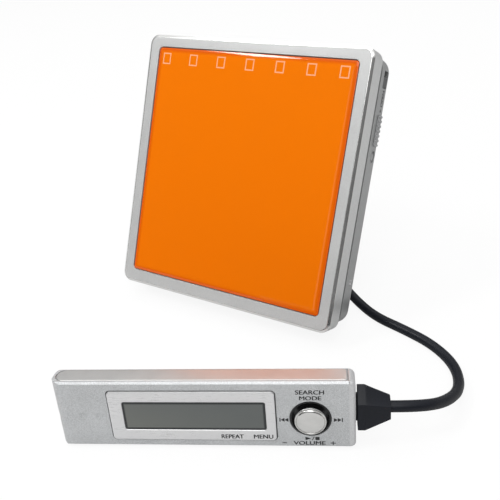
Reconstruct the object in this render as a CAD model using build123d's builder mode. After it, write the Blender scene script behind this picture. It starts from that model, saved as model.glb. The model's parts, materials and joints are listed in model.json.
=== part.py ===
"""Portable minidisc player leaning back on its lower edge, with its wired remote standing in front.

Millimetres, +Z up.  The player and the remote are each drawn in a plane of their own:
X runs along the width, Y up the height and Z out of the front face.
"""
from build123d import *
import os
from math import cos, pi, radians, sin, tan

os.makedirs("parts", exist_ok=True)

# ---- how the two units stand ------------------------------------------------
LEAN = 26.5                # the player leans back from upright, degrees
STICK_YAW = 24.6           # the remote is turned from the player's front, degrees
STICK_LEAN = 8.0           # the remote leans back, degrees
PLAYER_X, PLAYER_Y = -9.656, 18.735       # foot of the player's back, from the part's origin
STICK_DX, STICK_DY = -12.09, -67.77      # foot of the remote's left end, from the player's foot

# ---- the player's case, drawn round the disc it takes -----------------------
DISC_W, DISC_H, DISC_T = 68.0, 72.0, 5.0          # standard cartridge
CASE_SIDE, CASE_END = 2.8, 3.3           # from the cartridge to the case's faces, across and along
CASE_W, CASE_H, CASE_T = DISC_W + 2 * CASE_SIDE, DISC_H + 2 * CASE_END, 16.0
LID_R = 3.0                # corner radius of the lid's outline
FACE_BEVEL, FACE_BEVEL_DEEP = 0.8, 0.6
FRAME_SIDE, FRAME_TOP, FRAME_FOOT = 3.8, 3.6, 4.25   # face borders beside, over and under the panel
PANEL_GAP = 0.15
PANEL_T, PANEL_CROWN, PANEL_R = 1.0, 0.5, 1.4
LID_FOOT = 9.2             # height of the lid's lower edge above the back
LID_WALL, LID_SKIN, LID_PLATE = 1.1, 1.0, 0.4
REAR_INSET, REAR_R, REAR_TOP = 0.4, 4.5, 7.0
REAR_WALL, REAR_FLOOR, REAR_ROUND = 1.2, 0.8, 1.2
RIM_INSET, RIM_WALL, RIM_TOP = 1.2, 1.9, 8.6
CLEAR = 0.3                # working gap between pieces that move past each other
SLIP = 0.15                # side gap of a slider or a key in its window
RUN = 0.05                 # radial clearance of a pin or shaft

# ---- the hinge along the left edge ------------------------------------------
HINGE_X, HINGE_Z = 1.3, 8.1              # in from the lid's left face, above the back
HINGE_PIN_R, KNUCKLE_R = 0.4, 0.75
HINGE_Y, LUG_LEN, EAR_LEN = 11.0, 5.0, 2.4

# ---- disc space and mechanism -----------------------------------------------
HOLDER_GAP, HOLDER_SHEET, HOLDER_AIR = 0.25, 0.25, 0.2
HOLDER_LIP, HOLDER_BORDER, HOLDER_SHORT = 5.0, 10.0, 1.2
DECK_Z, DECK_T = 7.4, 0.8
DISC_CX, DISC_CY = 0.0, CASE_H / 2
TABLE_R, TABLE_RISE, SPINDLE_R, SPINDLE_TAPER = 6.5, 0.7, 1.4, 25.0
MOTOR_R, MOTOR_H = 8.6, 4.2
SLED_L, SLED_T = 7.0, 3.6
SLED_TRAVEL, LENS_R, LENS_ROUND, LENS_START = 16.0, 2.2, 0.7, 15.0
ROD_R, ROD_X, AUX_X = 0.7, 11.0, -10.0
SCREW_X, SCREW_R, FEED_TIP = -13.0, 1.1, 0.55      # feed screw and the share of it at its journals
SHAFT_R, MOTOR_BASE = 0.75, 0.5
FEED_MOTOR_R, FEED_MOTOR_L = 2.7, 9.0
CELL_SHORTER, CELL_W, CELL_T = 1.0, 17.0, 6.1     # gum-stick cell; how much shorter than the disc is wide
CELL_DOWN, CELL_GAP, CELL_R = 22.4, 0.3, 1.2      # its lower edge from the case's top; gap; corners
CONTACT_T, CONTACT_BOARD, CONTACT_W = 1.0, 0.5, 3.0
BOARD_T = 0.8
POST_R, DAMPER_T = 1.9, 1.2
POST_IN, FOOT_POST_IN = 10.4, 8.4        # the deck's posts, in from the rear shell's sides
POST_UNDER_CELL, POST_DOWN, FOOT_POST_Y = 3.7, 1.3, 5.2    # below the cell and the disc's middle; at the foot
ROD_Z = 4.6
BRACKET_T, BRACKET_W = 1.2, 3.4
SCREW_LUG_L, SCREW_LUG_W = 1.6, 3.6
SOCKET_W, SOCKET_END, SOCKET_PINS = 6.4, 1.0, 2.0
# centre as shares of the board's half width and of its height, then width, height and thickness of each
CHIPS = ((0.57, 0.39, 11.0, 11.0, 1.2), (0.57, 0.12, 8.0, 5.0, 1.0), (0.0, 0.948, 12.0, 3.4, 1.1),
         (0.456, 0.89, 6.0, 6.0, 1.6), (-0.47, 0.938, 5.0, 3.2, 1.4), (0.87, 0.544, 3.2, 6.0, 1.8),
         (-0.884, 0.8325, 4.2, 6.0, 1.5))
LATCH_SPRING_R, LATCH_SPRING_L, WIRE = 0.8, 4.0, 0.25

# ---- controls on the right side ---------------------------------------------
KEY_Z = 3.0                # height of the row of controls above the back
OPEN_DOWN, HOLD_DOWN, PLAY_DOWN = 20.7, 6.6, 28.1          # from the case's top
OPEN_L, OPEN_W, OPEN_R, OPEN_TRAVEL = 8.6, 3.0, 0.5, 2.6
OPEN_RIBS, RIB_PITCH = 6, 1.35
HOLD_KNOB_L, HOLD_W, HOLD_TRAVEL, HOLD_R, HOLD_KNOB_R = 2.9, 3.2, 1.6, 0.4, 0.3
PLAY_R, PLAY_TRAVEL = 1.1, 0.4
PLAY_WELL_R = 1.7
KNOB_PROUD, NECK_L, NECK_W = 0.5, 3.0, 2.0
BAR_T, BAR_L, BAR_W, HOOK_W, NOSE = 1.0, 11.7, 2.6, 2.0, 0.6
HOOK_UP, HOOK_CLEAR, STRIKER_CLEAR = 3.0, 0.4, 1.2     # hook above the slider's middle; gaps at the striker
STRIKER_L, STRIKER_T = 2.4, 0.8
SIDE_SCREW_Y, SIDE_SCREW_Z = 13.8, 3.4
SCREW_SHANK_R, SCREW_HEAD_R, SCREW_HEAD_T = 0.5, 0.95, 0.45
CROSS_L, CROSS_W = 1.24, 0.3             # cross slot in its head

# ---- sockets on the left side -----------------------------------------------
JACK_R, JACK_BLOCK = 1.75, 5.6
REMOTE_JACK_Y, DC_Y, DC_R = 12.0, 26.0, 2.0
JACK_DEPTH, DC_DEPTH = 12.0, 8.0

# ---- the remote -------------------------------------------------------------
WINDOW_X, WINDOW_Y, WINDOW_L, WINDOW_H = 17.3, 5.2, 34.5, 8.05
STICK_REST = 20.9          # from the window to the remote's right end
STICK_L, STICK_H, STICK_T = WINDOW_X + WINDOW_L + STICK_REST, 18.6, 6.35
STICK_R, STICK_TIGHT, STICK_EDGE, STICK_BACK_ROUND = 1.4, 0.7, 0.5, 1.2    # tight: the upper left corner
STICK_WALL, STICK_FLOOR, END_CAP = 0.9, 0.8, 1.5
PARTING = 1.6              # back shell's depth
BEZEL_LEFT, BEZEL_RIGHT, BEZEL_UNDER, BEZEL_OVER = 3.4, 2.3, 3.05, 2.95    # borders round the window
BEZEL_R, BEZEL_PROUD, BEZEL_SLOT, BEZEL_SEAT, BEZEL_LEDGE = 1.0, 0.35, 0.2, 0.5, 0.5
GLASS_T, LCD_T, LCD_BORDER = 0.75, 1.2, 1.0
TOP_PLATE_LEFT, TOP_PLATE_RIGHT, TOP_PLATE_FOOT, TOP_PLATE_IN, TOP_PLATE_T = 1.0, 1.62, 0.7, 0.9, 0.6
TOP_PLATE_GAP = 0.12
DIMPLES = ((7.1, 8.9), (11.1, 8.8))
DIMPLE_BALL, DIMPLE_DEEP = 1.9, 0.35
STICK_BOARD_T, STICK_BOARD_IN = 0.8, 2.5
EARPHONE_Z, EARPHONE_BLOCK = 3.1, 4.0
# control stick; stations along the remote are from its left or its right end
STICK_KEY_RIGHT, STICK_KEY_Y, WELL_R, WELL_SKIN, WELL_OVER = 10.5, 8.4, 4.9, 0.5, 0.6
CAP_R, CAP_PROUD, CAP_T, PUSH = 3.75, 1.5, 0.9, 0.3
STICK_PIVOT, GIMBAL_R, GIMBAL_T, GIMBAL_RING, GIMBAL_PIN_R = 2.5, 2.6, 0.7, 0.7, 0.25
STEM_R, HUB_WALL, HUB_L, LEG_T = 0.9, 0.7, 1.3, 0.8
# keys along the lower side and the lock slider on the back
REPEAT_RIGHT, MENU_RIGHT, VOLUME_RIGHT = 29.3, 21.7, 11.1
FOOT_KEY_L, FOOT_KEY_W, FOOT_KEY_Z = 4.6, 2.0, 3.2
VOLUME_L, ROCKER_T, ROCKER_Y = 9.0, 1.1, 1.7
ROCKER_PIN_R, ROCKER_HUB_R = 0.3, 0.7
KEY_SUNK, FLANGE_T = 0.15, 0.5
SWITCH_Y, SWITCH_T, SWITCH_W = 2.8, 1.2, 2.0
STICK_HOLD_RIGHT, STICK_HOLD_Y, STICK_HOLD_L, STICK_HOLD_W, STICK_HOLD_WAY = 17.9, 8.2, 3.6, 2.2, 2.0
# clip
CLIP_L, CLIP_H, CLIP_T, CLIP_RIGHT, CLIP_Y, CLIP_GAP = 30.0, 12.0, 1.2, 36.1, 3.6, 2.0
CLIP_PIN_R, CLIP_PIN_Y, CLIP_PIN_DEEP = 0.45, 12.0, 1.1
CLIP_EAR_X, CLIP_EAR_W, CLIP_EAR_R = 5.0, 1.4, 0.85

# ---- the lead ---------------------------------------------------------------
CORD_D, ARC_SHARE = 2.8, 0.45            # diameter; share of the shorter run that an arc takes up
RELIEF_GAP, RELIEF_STRAIGHT, RELIEF_L = 0.45, 1.7, 7.65    # from the remote's end, square part, whole length
RELIEF_TALL, RELIEF_DEEP = 11.2, 5.0     # at the remote
TIP_TALL, TIP_DEEP = 5.2, 3.7            # at the cord
RELIEF_Y, NECK_TALL, NECK_DEEP = 9.6, 6.0, 3.0
# corners of the strain relief's section, as shares of its height and depth
RELIEF_SHAPE = ((0.5, -0.2), (0.19, 0.5), (-0.45, 0.5), (-0.5, 0.35),
                (-0.5, -0.35), (-0.45, -0.5), (0.4, -0.5))
FIRST_RUN = 7.0                          # straight out of the strain relief, the coil and the plug
# from the remote to the coil, and from the coil to the plug; from the player's foot, z from the surface
FRONT_ROUTE = ((72.6, -24.7, 5.6), (73.9, -15.7, 2.4), (70.6, -6.6, 1.4), (62.5, -0.6, 1.4), (53.0, 2.6, 1.4),
               (44.0, 4.9, 1.4), (36.5, 9.6, 1.4), (28.5, 16.4, 1.4), (18.4, 23.9, 1.4))
REAR_ROUTE = ((-39.6, 33.2, 2.4), (-41.0, 24.4, 1.9))
COIL_X, COIL_Y, COIL_MID_R = -12.0, 24.4, 15.0   # coil's centre, from the player's foot; mid radius
COIL_WIDE, COIL_HIGH = 3, 2              # turns side by side, layers
COIL_IN_R, COIL_IN, STUB_IN = 17.8, 53.0, 10.5   # where the lead meets the coil: radius, degrees, stub
COIL_OUT_R, COIL_OUT, STUB_OUT = 16.4, 97.0, 12.5
TIE_AT, TIE_W, TIE_T = 225.0, 5.0, 0.4   # tie round the coil: place in degrees, width, thickness
PLUG_L, PLUG_TALL, PLUG_DEEP, PLUG_R = 6.0, 7.0, 5.6, 1.2
TAIL_R, TAIL_L = 2.1, 4.0

# ---- the two drawing planes -------------------------------------------------
def leaning_plane(x, y, yaw, lean, inset, rounding):
    """Plane of a unit standing on its rounded lower back edge: X along it, Z out of its face."""
    tilt, turn = radians(lean), radians(yaw)
    rise = -(inset * cos(tilt) + (cos(tilt) + sin(tilt) - 1) * rounding)
    across = (cos(turn), sin(turn), 0)
    out = (sin(turn) * cos(tilt), -cos(turn) * cos(tilt), sin(tilt))
    return Plane(origin=(x, y, rise), x_dir=across, z_dir=out)


player = leaning_plane(PLAYER_X, PLAYER_Y, 0, LEAN, REAR_INSET, REAR_ROUND)
stick = leaning_plane(PLAYER_X + STICK_DX, PLAYER_Y + STICK_DY, STICK_YAW, STICK_LEAN, 0, STICK_BACK_ROUND)


def side_of(unit, x, facing=1):
    """Plane across the unit at local x: its X runs up the unit, its Z out to the right or left."""
    at = unit.from_local_coords(Vector(x, 0, 0))
    return Plane(origin=at, x_dir=unit.y_dir, z_dir=unit.x_dir * facing)


def across_of(unit, y):
    """Plane across the unit at local height y, looking up it: its X runs along the width."""
    at = unit.from_local_coords(Vector(0, y, 0))
    return Plane(origin=at, x_dir=unit.x_dir, z_dir=unit.y_dir)


def axis_of(unit, direction):
    """Direction of a unit as an axis, for choosing faces and edges."""
    return Axis(unit.origin, direction)


def keep(piece, name):
    """Label a finished piece and write it."""
    piece.part.label = name
    export_step(piece.part, f"parts/{name}.step")


RIGHT = CASE_W / 2
OPEN_Y, HOLD_Y, PLAY_Y = CASE_H - OPEN_DOWN, CASE_H - HOLD_DOWN, CASE_H - PLAY_DOWN
HOLD_SLOT_L = HOLD_KNOB_L + HOLD_TRAVEL + 2 * SLIP
NECK_Y = OPEN_Y - (OPEN_L - NECK_L) / 2 + OPEN_TRAVEL / 4     # neck of the slider, at rest
HOOK_Y = OPEN_Y + HOOK_UP
HOOK_TOP = LID_FOOT + 2 * NOSE + HOOK_CLEAR
STRIKER_Y = HOOK_Y - HOOK_W / 2 - NOSE - SLIP - STRIKER_CLEAR
REAR_W, REAR_H = CASE_W - 2 * REAR_INSET, CASE_H - 2 * REAR_INSET
REAR_RIGHT = REAR_W / 2
MID_Y = CASE_H / 2
FRONT_WAY, RIGHT_WAY = axis_of(player, player.z_dir), axis_of(player, player.x_dir)

# =============================================================================
# Lid: front frame, tinted panel and the skirt behind them
# =============================================================================
PANEL_W = CASE_W - 2 * FRAME_SIDE
PANEL_H = CASE_H - FRAME_TOP - FRAME_FOOT
PANEL_Y = FRAME_FOOT + PANEL_H / 2
SEAT_Z = CASE_T - PANEL_T                  # the panel's seat

with BuildPart(player) as lid_frame:
    with BuildSketch(player.offset(CASE_T - LID_SKIN)):
        with Locations((0, MID_Y)):
            RectangleRounded(CASE_W, CASE_H, LID_R)
    extrude(amount=LID_SKIN)
    chamfer(lid_frame.faces().sort_by(FRONT_WAY)[-1].edges(), length=FACE_BEVEL_DEEP, length2=FACE_BEVEL)
    with BuildSketch(player.offset(CASE_T)):
        with Locations((0, PANEL_Y)):
            RectangleRounded(PANEL_W, PANEL_H, PANEL_R)
    extrude(amount=-LID_SKIN, mode=Mode.SUBTRACT)
keep(lid_frame, "lid_frame")

with BuildPart(player) as front_panel:
    with BuildSketch(player.offset(SEAT_Z)):
        with Locations((0, PANEL_Y)):
            RectangleRounded(PANEL_W - 2 * PANEL_GAP, PANEL_H - 2 * PANEL_GAP, PANEL_R - PANEL_GAP)
    extrude(amount=PANEL_T)
    fillet(front_panel.faces().sort_by(FRONT_WAY)[-1].edges(), PANEL_CROWN)
keep(front_panel, "front_panel")

LID_SEAT = CASE_T - LID_SKIN               # underside of the frame
HINGE_AT = -RIGHT + HINGE_X                # hinge axis, from the middle of the width
HINGES = (HINGE_Y, CASE_H - HINGE_Y)


def barrel(y, length, radius, mode=Mode.ADD):
    """Cylinder round the hinge axis, its middle at height y."""
    with Locations((HINGE_AT, y, HINGE_Z)):
        Cylinder(radius, length, rotation=(90, 0, 0), mode=mode)


with BuildPart(player) as lid_shell:
    with BuildSketch(player.offset(LID_FOOT)):
        with Locations((0, MID_Y)):
            RectangleRounded(CASE_W, CASE_H, LID_R)
            RectangleRounded(CASE_W - 2 * LID_WALL, CASE_H - 2 * LID_WALL, LID_R - LID_WALL,
                             mode=Mode.SUBTRACT)
    extrude(amount=LID_SEAT - LID_FOOT)
    with BuildSketch(player.offset(SEAT_Z)):
        with Locations((0, MID_Y)):
            RectangleRounded(CASE_W - LID_WALL, CASE_H - LID_WALL, LID_R - LID_WALL)
    extrude(amount=-LID_PLATE)
    for y in HINGES:
        barrel(y, LUG_LEN, KNUCKLE_R)
        with Locations((HINGE_AT, y, (HINGE_Z + LID_FOOT + LID_WALL) / 2)):
            Box(2 * KNUCKLE_R, LUG_LEN, LID_FOOT + LID_WALL - HINGE_Z)
        barrel(y, LUG_LEN, HINGE_PIN_R + RUN, mode=Mode.SUBTRACT)
    # ledge that the latch's hook holds
    with Locations((RIGHT - LID_WALL - STRIKER_T, STRIKER_Y, LID_FOOT + STRIKER_T / 2)):
        Box(2 * STRIKER_T, STRIKER_L, STRIKER_T)
keep(lid_shell, "lid_shell")

# =============================================================================
# Disc holder: a folded sheet sleeve, open to the right
# =============================================================================
HOLDER_W = DISC_W + 2 * (HOLDER_GAP + HOLDER_SHEET)
HOLDER_H = DISC_H + 2 * (HOLDER_GAP + HOLDER_SHEET)
HOLDER_TOP = SEAT_Z - LID_PLATE - HOLDER_AIR
HOLDER_ROOM = DISC_T + SLIP + 2 * HOLDER_SHEET
HOLDER_FOOT = HOLDER_TOP - HOLDER_ROOM

with BuildPart(player) as disc_holder:
    with Locations((DISC_CX, DISC_CY, HOLDER_FOOT + HOLDER_ROOM / 2)):
        Box(HOLDER_W, HOLDER_H, HOLDER_ROOM)
    with Locations((DISC_CX + HOLDER_SHEET, DISC_CY, HOLDER_FOOT + HOLDER_ROOM / 2)):
        Box(HOLDER_W, HOLDER_H - 2 * HOLDER_SHEET, HOLDER_ROOM - 2 * HOLDER_SHEET, mode=Mode.SUBTRACT)
    with Locations((DISC_CX + HOLDER_LIP, DISC_CY, HOLDER_FOOT)):
        Box(HOLDER_W, HOLDER_H - 2 * HOLDER_LIP, 2 * (HOLDER_SHEET + CLEAR), mode=Mode.SUBTRACT)
    with BuildSketch(player.offset(HOLDER_TOP)):
        with Locations((DISC_CX, DISC_CY)):
            RectangleRounded(HOLDER_W - 2 * HOLDER_BORDER, HOLDER_H / 2, HOLDER_LIP)
    extrude(amount=-2 * HOLDER_SHEET, mode=Mode.SUBTRACT)
    with BuildSketch(across_of(player, 0)):
        with Locations((DISC_CX + HOLDER_W / 2, -HOLDER_FOOT - HOLDER_ROOM / 2)):
            Rectangle(2 * HOLDER_SHORT, 2 * HOLDER_ROOM)
    extrude(amount=CASE_H, mode=Mode.SUBTRACT)
keep(disc_holder, "disc_holder")

# =============================================================================
# Rear shell
# =============================================================================
DOOR_KNUCKLE, DOOR_PIN_R, DOOR_EDGE = 0.9, 0.4, 1.6
CELL_Y, CELL_L = CASE_H - CELL_DOWN, DISC_W - CELL_SHORTER
DOOR_LOW, DOOR_HIGH = CELL_Y - DOOR_EDGE, CELL_Y + CELL_W + CELL_GAP
DOOR_PIN_Y = DOOR_LOW - DOOR_KNUCKLE

with BuildPart(player) as rear_shell:
    with BuildSketch(player):
        with Locations((0, MID_Y)):
            RectangleRounded(REAR_W, REAR_H, REAR_R)
    extrude(amount=REAR_TOP)
    fillet(rear_shell.faces().sort_by(FRONT_WAY)[0].edges(), REAR_ROUND)
    with BuildSketch(player.offset(REAR_FLOOR)):
        with Locations((0, MID_Y)):
            RectangleRounded(REAR_W - 2 * REAR_WALL, REAR_H - 2 * REAR_WALL, REAR_R - REAR_WALL)
    extrude(amount=REAR_TOP, mode=Mode.SUBTRACT)
    # windows of the controls on the right side
    with BuildSketch(side_of(player, REAR_RIGHT)):
        with Locations((NECK_Y + OPEN_TRAVEL / 2, KEY_Z)):
            Rectangle(NECK_L + OPEN_TRAVEL + 2 * SLIP, NECK_W + 2 * SLIP)
        with Locations((HOLD_Y, KEY_Z)):
            RectangleRounded(HOLD_SLOT_L, HOLD_W + 2 * SLIP, HOLD_R)
        with Locations((PLAY_Y, KEY_Z)):
            Circle(PLAY_R + SLIP)
        with Locations((SIDE_SCREW_Y, SIDE_SCREW_Z)):
            Circle(SCREW_SHANK_R)
    extrude(amount=-(REAR_WALL + SLIP), mode=Mode.SUBTRACT)
    with BuildSketch(side_of(player, REAR_RIGHT)):
        with Locations((PLAY_Y, KEY_Z)):
            Circle(PLAY_WELL_R)
        with Locations((SIDE_SCREW_Y, SIDE_SCREW_Z)):
            Circle(SCREW_HEAD_R + RUN)
    extrude(amount=-SCREW_HEAD_T, mode=Mode.SUBTRACT)
    # battery doorway, jack holes on the left side; that plane's Y runs to the back
    with BuildSketch(side_of(player, -REAR_RIGHT, -1)):
        with Locations(((DOOR_PIN_Y - DOOR_KNUCKLE - CLEAR + DOOR_HIGH) / 2, -(REAR_FLOOR + REAR_TOP) / 2)):
            Rectangle(DOOR_HIGH - DOOR_PIN_Y + DOOR_KNUCKLE + CLEAR, REAR_TOP - REAR_FLOOR)
        with Locations((REMOTE_JACK_Y, -JACK_BLOCK / 2 - REAR_FLOOR)):
            Circle(JACK_R + CLEAR)
        with Locations((DC_Y, -JACK_BLOCK / 2 - REAR_FLOOR)):
            Circle(DC_R + CLEAR)
    extrude(amount=-REAR_WALL, mode=Mode.SUBTRACT)
    # room for the knuckles of the lid
    for y in HINGES:
        with Locations((HINGE_AT, y, HINGE_Z)):
            Box(2 * (KNUCKLE_R + CLEAR), LUG_LEN + 2 * EAR_LEN + 4 * CLEAR, 2 * (KNUCKLE_R + CLEAR),
                mode=Mode.SUBTRACT)
keep(rear_shell, "rear_shell")

# =============================================================================
# Mid frame: the recessed band between lid and rear shell, with the hinge ears
# =============================================================================
RIM_W, RIM_H = CASE_W - 2 * RIM_INSET, CASE_H - 2 * RIM_INSET
WALL_IN = REAR_RIGHT - REAR_WALL           # inner face of the right wall
BAR_X = WALL_IN - RUN - BAR_T / 2
SCREW_LUG_X = WALL_IN - SCREW_LUG_L

with BuildPart(player) as mid_frame:
    with BuildSketch(player.offset(REAR_TOP)):
        with Locations((0, MID_Y)):
            RectangleRounded(RIM_W, RIM_H, REAR_R - RIM_INSET)
            RectangleRounded(RIM_W - 2 * RIM_WALL, RIM_H - 2 * RIM_WALL, REAR_R - RIM_INSET - RIM_WALL,
                             mode=Mode.SUBTRACT)
    extrude(amount=RIM_TOP - REAR_TOP)
    for y in HINGES:
        with Locations((HINGE_AT, y, HINGE_Z)):
            Box(2 * (KNUCKLE_R + CLEAR), LUG_LEN + 2 * CLEAR, 2 * (KNUCKLE_R + CLEAR), mode=Mode.SUBTRACT)
        for way in (-1, 1):
            ear_y = y + way * (LUG_LEN / 2 + CLEAR + EAR_LEN / 2)
            barrel(ear_y, EAR_LEN, KNUCKLE_R)
        barrel(y, LUG_LEN + 2 * CLEAR + 2 * EAR_LEN, HINGE_PIN_R, mode=Mode.SUBTRACT)
    with Locations((WALL_IN - SCREW_LUG_L / 2, SIDE_SCREW_Y, (REAR_FLOOR + CLEAR + REAR_TOP) / 2)):
        Box(SCREW_LUG_L, SCREW_LUG_W, REAR_TOP - REAR_FLOOR - CLEAR)
    with Locations((SCREW_LUG_X, SIDE_SCREW_Y, SIDE_SCREW_Z)):
        Cylinder(SCREW_SHANK_R, 2 * SCREW_LUG_L, rotation=(0, 90, 0), mode=Mode.SUBTRACT)
    with Locations((BAR_X, HOOK_Y + OPEN_TRAVEL / 2 - NOSE / 2, REAR_TOP)):
        Box(BAR_T + 2 * SLIP, HOOK_W + NOSE + OPEN_TRAVEL + 2 * CLEAR, RIM_TOP, mode=Mode.SUBTRACT)
keep(mid_frame, "mid_frame")

with BuildPart(player) as hinge_pins:
    for y in HINGES:
        barrel(y, LUG_LEN + 2 * CLEAR + 2 * EAR_LEN, HINGE_PIN_R)
keep(hinge_pins, "hinge_pins")

# =============================================================================
# Mechanism on its steel deck
# =============================================================================
DECK_W = RIM_W - 2 * RIM_WALL - 2 * SLIP
DECK_H = RIM_H - 2 * RIM_WALL - 2 * SLIP
LENS_Y0 = DISC_CY - LENS_START

POST_ROWS = ((POST_IN, CELL_Y - POST_UNDER_CELL), (POST_IN, DISC_CY - POST_DOWN), (FOOT_POST_IN, FOOT_POST_Y))
POSTS = [(side * (REAR_RIGHT - inward), y) for inward, y in POST_ROWS for side in (-1, 1)]
ROD_NEAR = MID_Y - DECK_H / 2 + BRACKET_T / 2            # ends of the rods
ROD_FAR = LENS_Y0 + SLED_L / 2 + 1.5 * BRACKET_T

with BuildPart(player) as deck_plate:
    with BuildSketch(player.offset(DECK_Z)):
        with Locations((0, MID_Y)):
            RectangleRounded(DECK_W, DECK_H, REAR_R - RIM_INSET - RIM_WALL)
        with Locations((DISC_CX, DISC_CY)):
            Circle(TABLE_R + CLEAR, mode=Mode.SUBTRACT)
        with Locations((DISC_CX, LENS_Y0 - SLED_TRAVEL / 2)):
            SlotCenterToCenter(SLED_TRAVEL, 2 * (LENS_R + 2 * CLEAR), rotation=90, mode=Mode.SUBTRACT)
        with Locations(*POSTS):
            Circle(SCREW_SHANK_R, mode=Mode.SUBTRACT)
    extrude(amount=DECK_T)
    # brackets folded down at both ends of each rod and at the feed screw's free end
    rod_ends = [(x, y) for x in (ROD_X, AUX_X) for y in (ROD_NEAR, ROD_FAR)] + [(SCREW_X, ROD_NEAR)]
    with BuildSketch(player.offset(ROD_Z - ROD_R - BRACKET_T / 2)):
        with Locations(*rod_ends):
            Rectangle(BRACKET_W, BRACKET_T)
    extrude(amount=DECK_Z - ROD_Z + ROD_R + BRACKET_T / 2)
    for x, y in rod_ends:
        hole = SCREW_R * FEED_TIP + RUN if x == SCREW_X else ROD_R
        with Locations((x, y, ROD_Z)):
            Cylinder(hole, 2 * BRACKET_T, rotation=(90, 0, 0), mode=Mode.SUBTRACT)
keep(deck_plate, "deck_plate")

with BuildPart(player) as deck_dampers:
    with BuildSketch(player.offset(REAR_FLOOR)):
        with Locations(*POSTS):
            Circle(POST_R)
            Circle(SCREW_SHANK_R, mode=Mode.SUBTRACT)
    extrude(amount=DECK_Z - REAR_FLOOR)
keep(deck_dampers, "deck_dampers")

with BuildPart(player) as deck_screws:
    with BuildSketch(player.offset(REAR_FLOOR + DAMPER_T)):
        with Locations(*POSTS):
            Circle(SCREW_SHANK_R)
    extrude(amount=DECK_Z + DECK_T - REAR_FLOOR - DAMPER_T)
keep(deck_screws, "deck_screws")

with BuildPart(player) as guide_rods:
    for x in (ROD_X, AUX_X):
        with Locations((x, (ROD_NEAR + ROD_FAR) / 2, ROD_Z)):
            Cylinder(ROD_R, ROD_FAR - ROD_NEAR + BRACKET_T, rotation=(90, 0, 0))
keep(guide_rods, "guide_rods")

with BuildPart(player) as spindle_motor:
    with BuildSketch(player.offset(DECK_Z)):
        with Locations((DISC_CX, DISC_CY)):
            Circle(MOTOR_R)
            Circle(SHAFT_R + RUN, mode=Mode.SUBTRACT)
    extrude(amount=-MOTOR_H)
    with BuildSketch(player.offset(DECK_Z - MOTOR_H)):
        with Locations((DISC_CX, DISC_CY)):
            Circle(MOTOR_R)
    extrude(amount=-MOTOR_BASE)
keep(spindle_motor, "spindle_motor")

with BuildPart(player) as turntable:
    with BuildSketch(player.offset(DECK_Z + CLEAR)):
        with Locations((DISC_CX, DISC_CY)):
            Circle(TABLE_R)
    extrude(amount=DECK_T + TABLE_RISE - CLEAR)
    with BuildSketch(player.offset(DECK_Z + DECK_T + TABLE_RISE)):
        with Locations((DISC_CX, DISC_CY)):
            Circle(SPINDLE_R)
    extrude(amount=SPINDLE_R, taper=SPINDLE_TAPER)
    with BuildSketch(player.offset(DECK_Z + CLEAR)):
        with Locations((DISC_CX, DISC_CY)):
            Circle(SHAFT_R)
    extrude(amount=-MOTOR_H)
keep(turntable, "turntable")

SLED_LEFT = SCREW_X + SCREW_R + RUN
SLED_RIGHT = ROD_X + ROD_R + RUN + BRACKET_T / 2
SLED_MID = (SLED_LEFT + SLED_RIGHT) / 2
SLED_TOP = ROD_Z + SLED_T / 2

with BuildPart(player) as pickup_sled:
    with Locations((SLED_MID, LENS_Y0, ROD_Z)):
        Box(SLED_RIGHT - SLED_LEFT, SLED_L, SLED_T)
    for x in (ROD_X, AUX_X):
        with Locations((x, LENS_Y0, ROD_Z)):
            Cylinder(ROD_R + RUN, 2 * SLED_L, rotation=(90, 0, 0), mode=Mode.SUBTRACT)
keep(pickup_sled, "pickup_sled")

with BuildPart(player) as pickup_lens:
    with BuildSketch(player.offset(SLED_TOP)):
        with Locations((DISC_CX, LENS_Y0)):
            Circle(LENS_R)
    extrude(amount=DECK_Z + DECK_T + CLEAR - SLED_TOP)
    fillet(pickup_lens.faces().sort_by(FRONT_WAY)[-1].edges(), LENS_ROUND)
keep(pickup_lens, "pickup_lens")

FEED_FOOT, FEED_HEAD = ROD_NEAR - BRACKET_T / 2, ROD_FAR + BRACKET_T    # feed screw's ends

with BuildPart(player) as feed_screw:
    with Locations((SCREW_X, (ROD_NEAR + BRACKET_T + FEED_HEAD) / 2, ROD_Z)):
        Cylinder(SCREW_R, FEED_HEAD - ROD_NEAR - BRACKET_T, rotation=(90, 0, 0))
    with Locations((SCREW_X, (FEED_FOOT + FEED_HEAD + FEED_MOTOR_L / 2) / 2, ROD_Z)):
        Cylinder(SCREW_R * FEED_TIP, FEED_HEAD + FEED_MOTOR_L / 2 - FEED_FOOT, rotation=(90, 0, 0))
keep(feed_screw, "feed_screw")

with BuildPart(player) as feed_motor:
    with Locations((SCREW_X, FEED_HEAD + RUN + FEED_MOTOR_L / 2, ROD_Z)):
        Cylinder(FEED_MOTOR_R, FEED_MOTOR_L, rotation=(90, 0, 0))
    with Locations((SCREW_X, FEED_HEAD + RUN + FEED_MOTOR_L / 4, ROD_Z)):
        Cylinder(SCREW_R * FEED_TIP + RUN, FEED_MOTOR_L / 2, rotation=(90, 0, 0), mode=Mode.SUBTRACT)
keep(feed_motor, "feed_motor")

# =============================================================================
# Battery, its contacts and door
# =============================================================================
CELL_X0 = -REAR_RIGHT + REAR_WALL + SLIP                 # left end of the cell
CELL_Z = REAR_FLOOR + RUN + CELL_T / 2
DOOR_T = REAR_WALL - SLIP
DOOR_PIN_X = -REAR_RIGHT + DOOR_KNUCKLE

with BuildPart(player) as battery_cell:
    with BuildSketch(side_of(player, CELL_X0)):
        with Locations((CELL_Y + CELL_W / 2, CELL_Z)):
            RectangleRounded(CELL_W, CELL_T, CELL_R)
    extrude(amount=CELL_L)
keep(battery_cell, "battery_cell")

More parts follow.
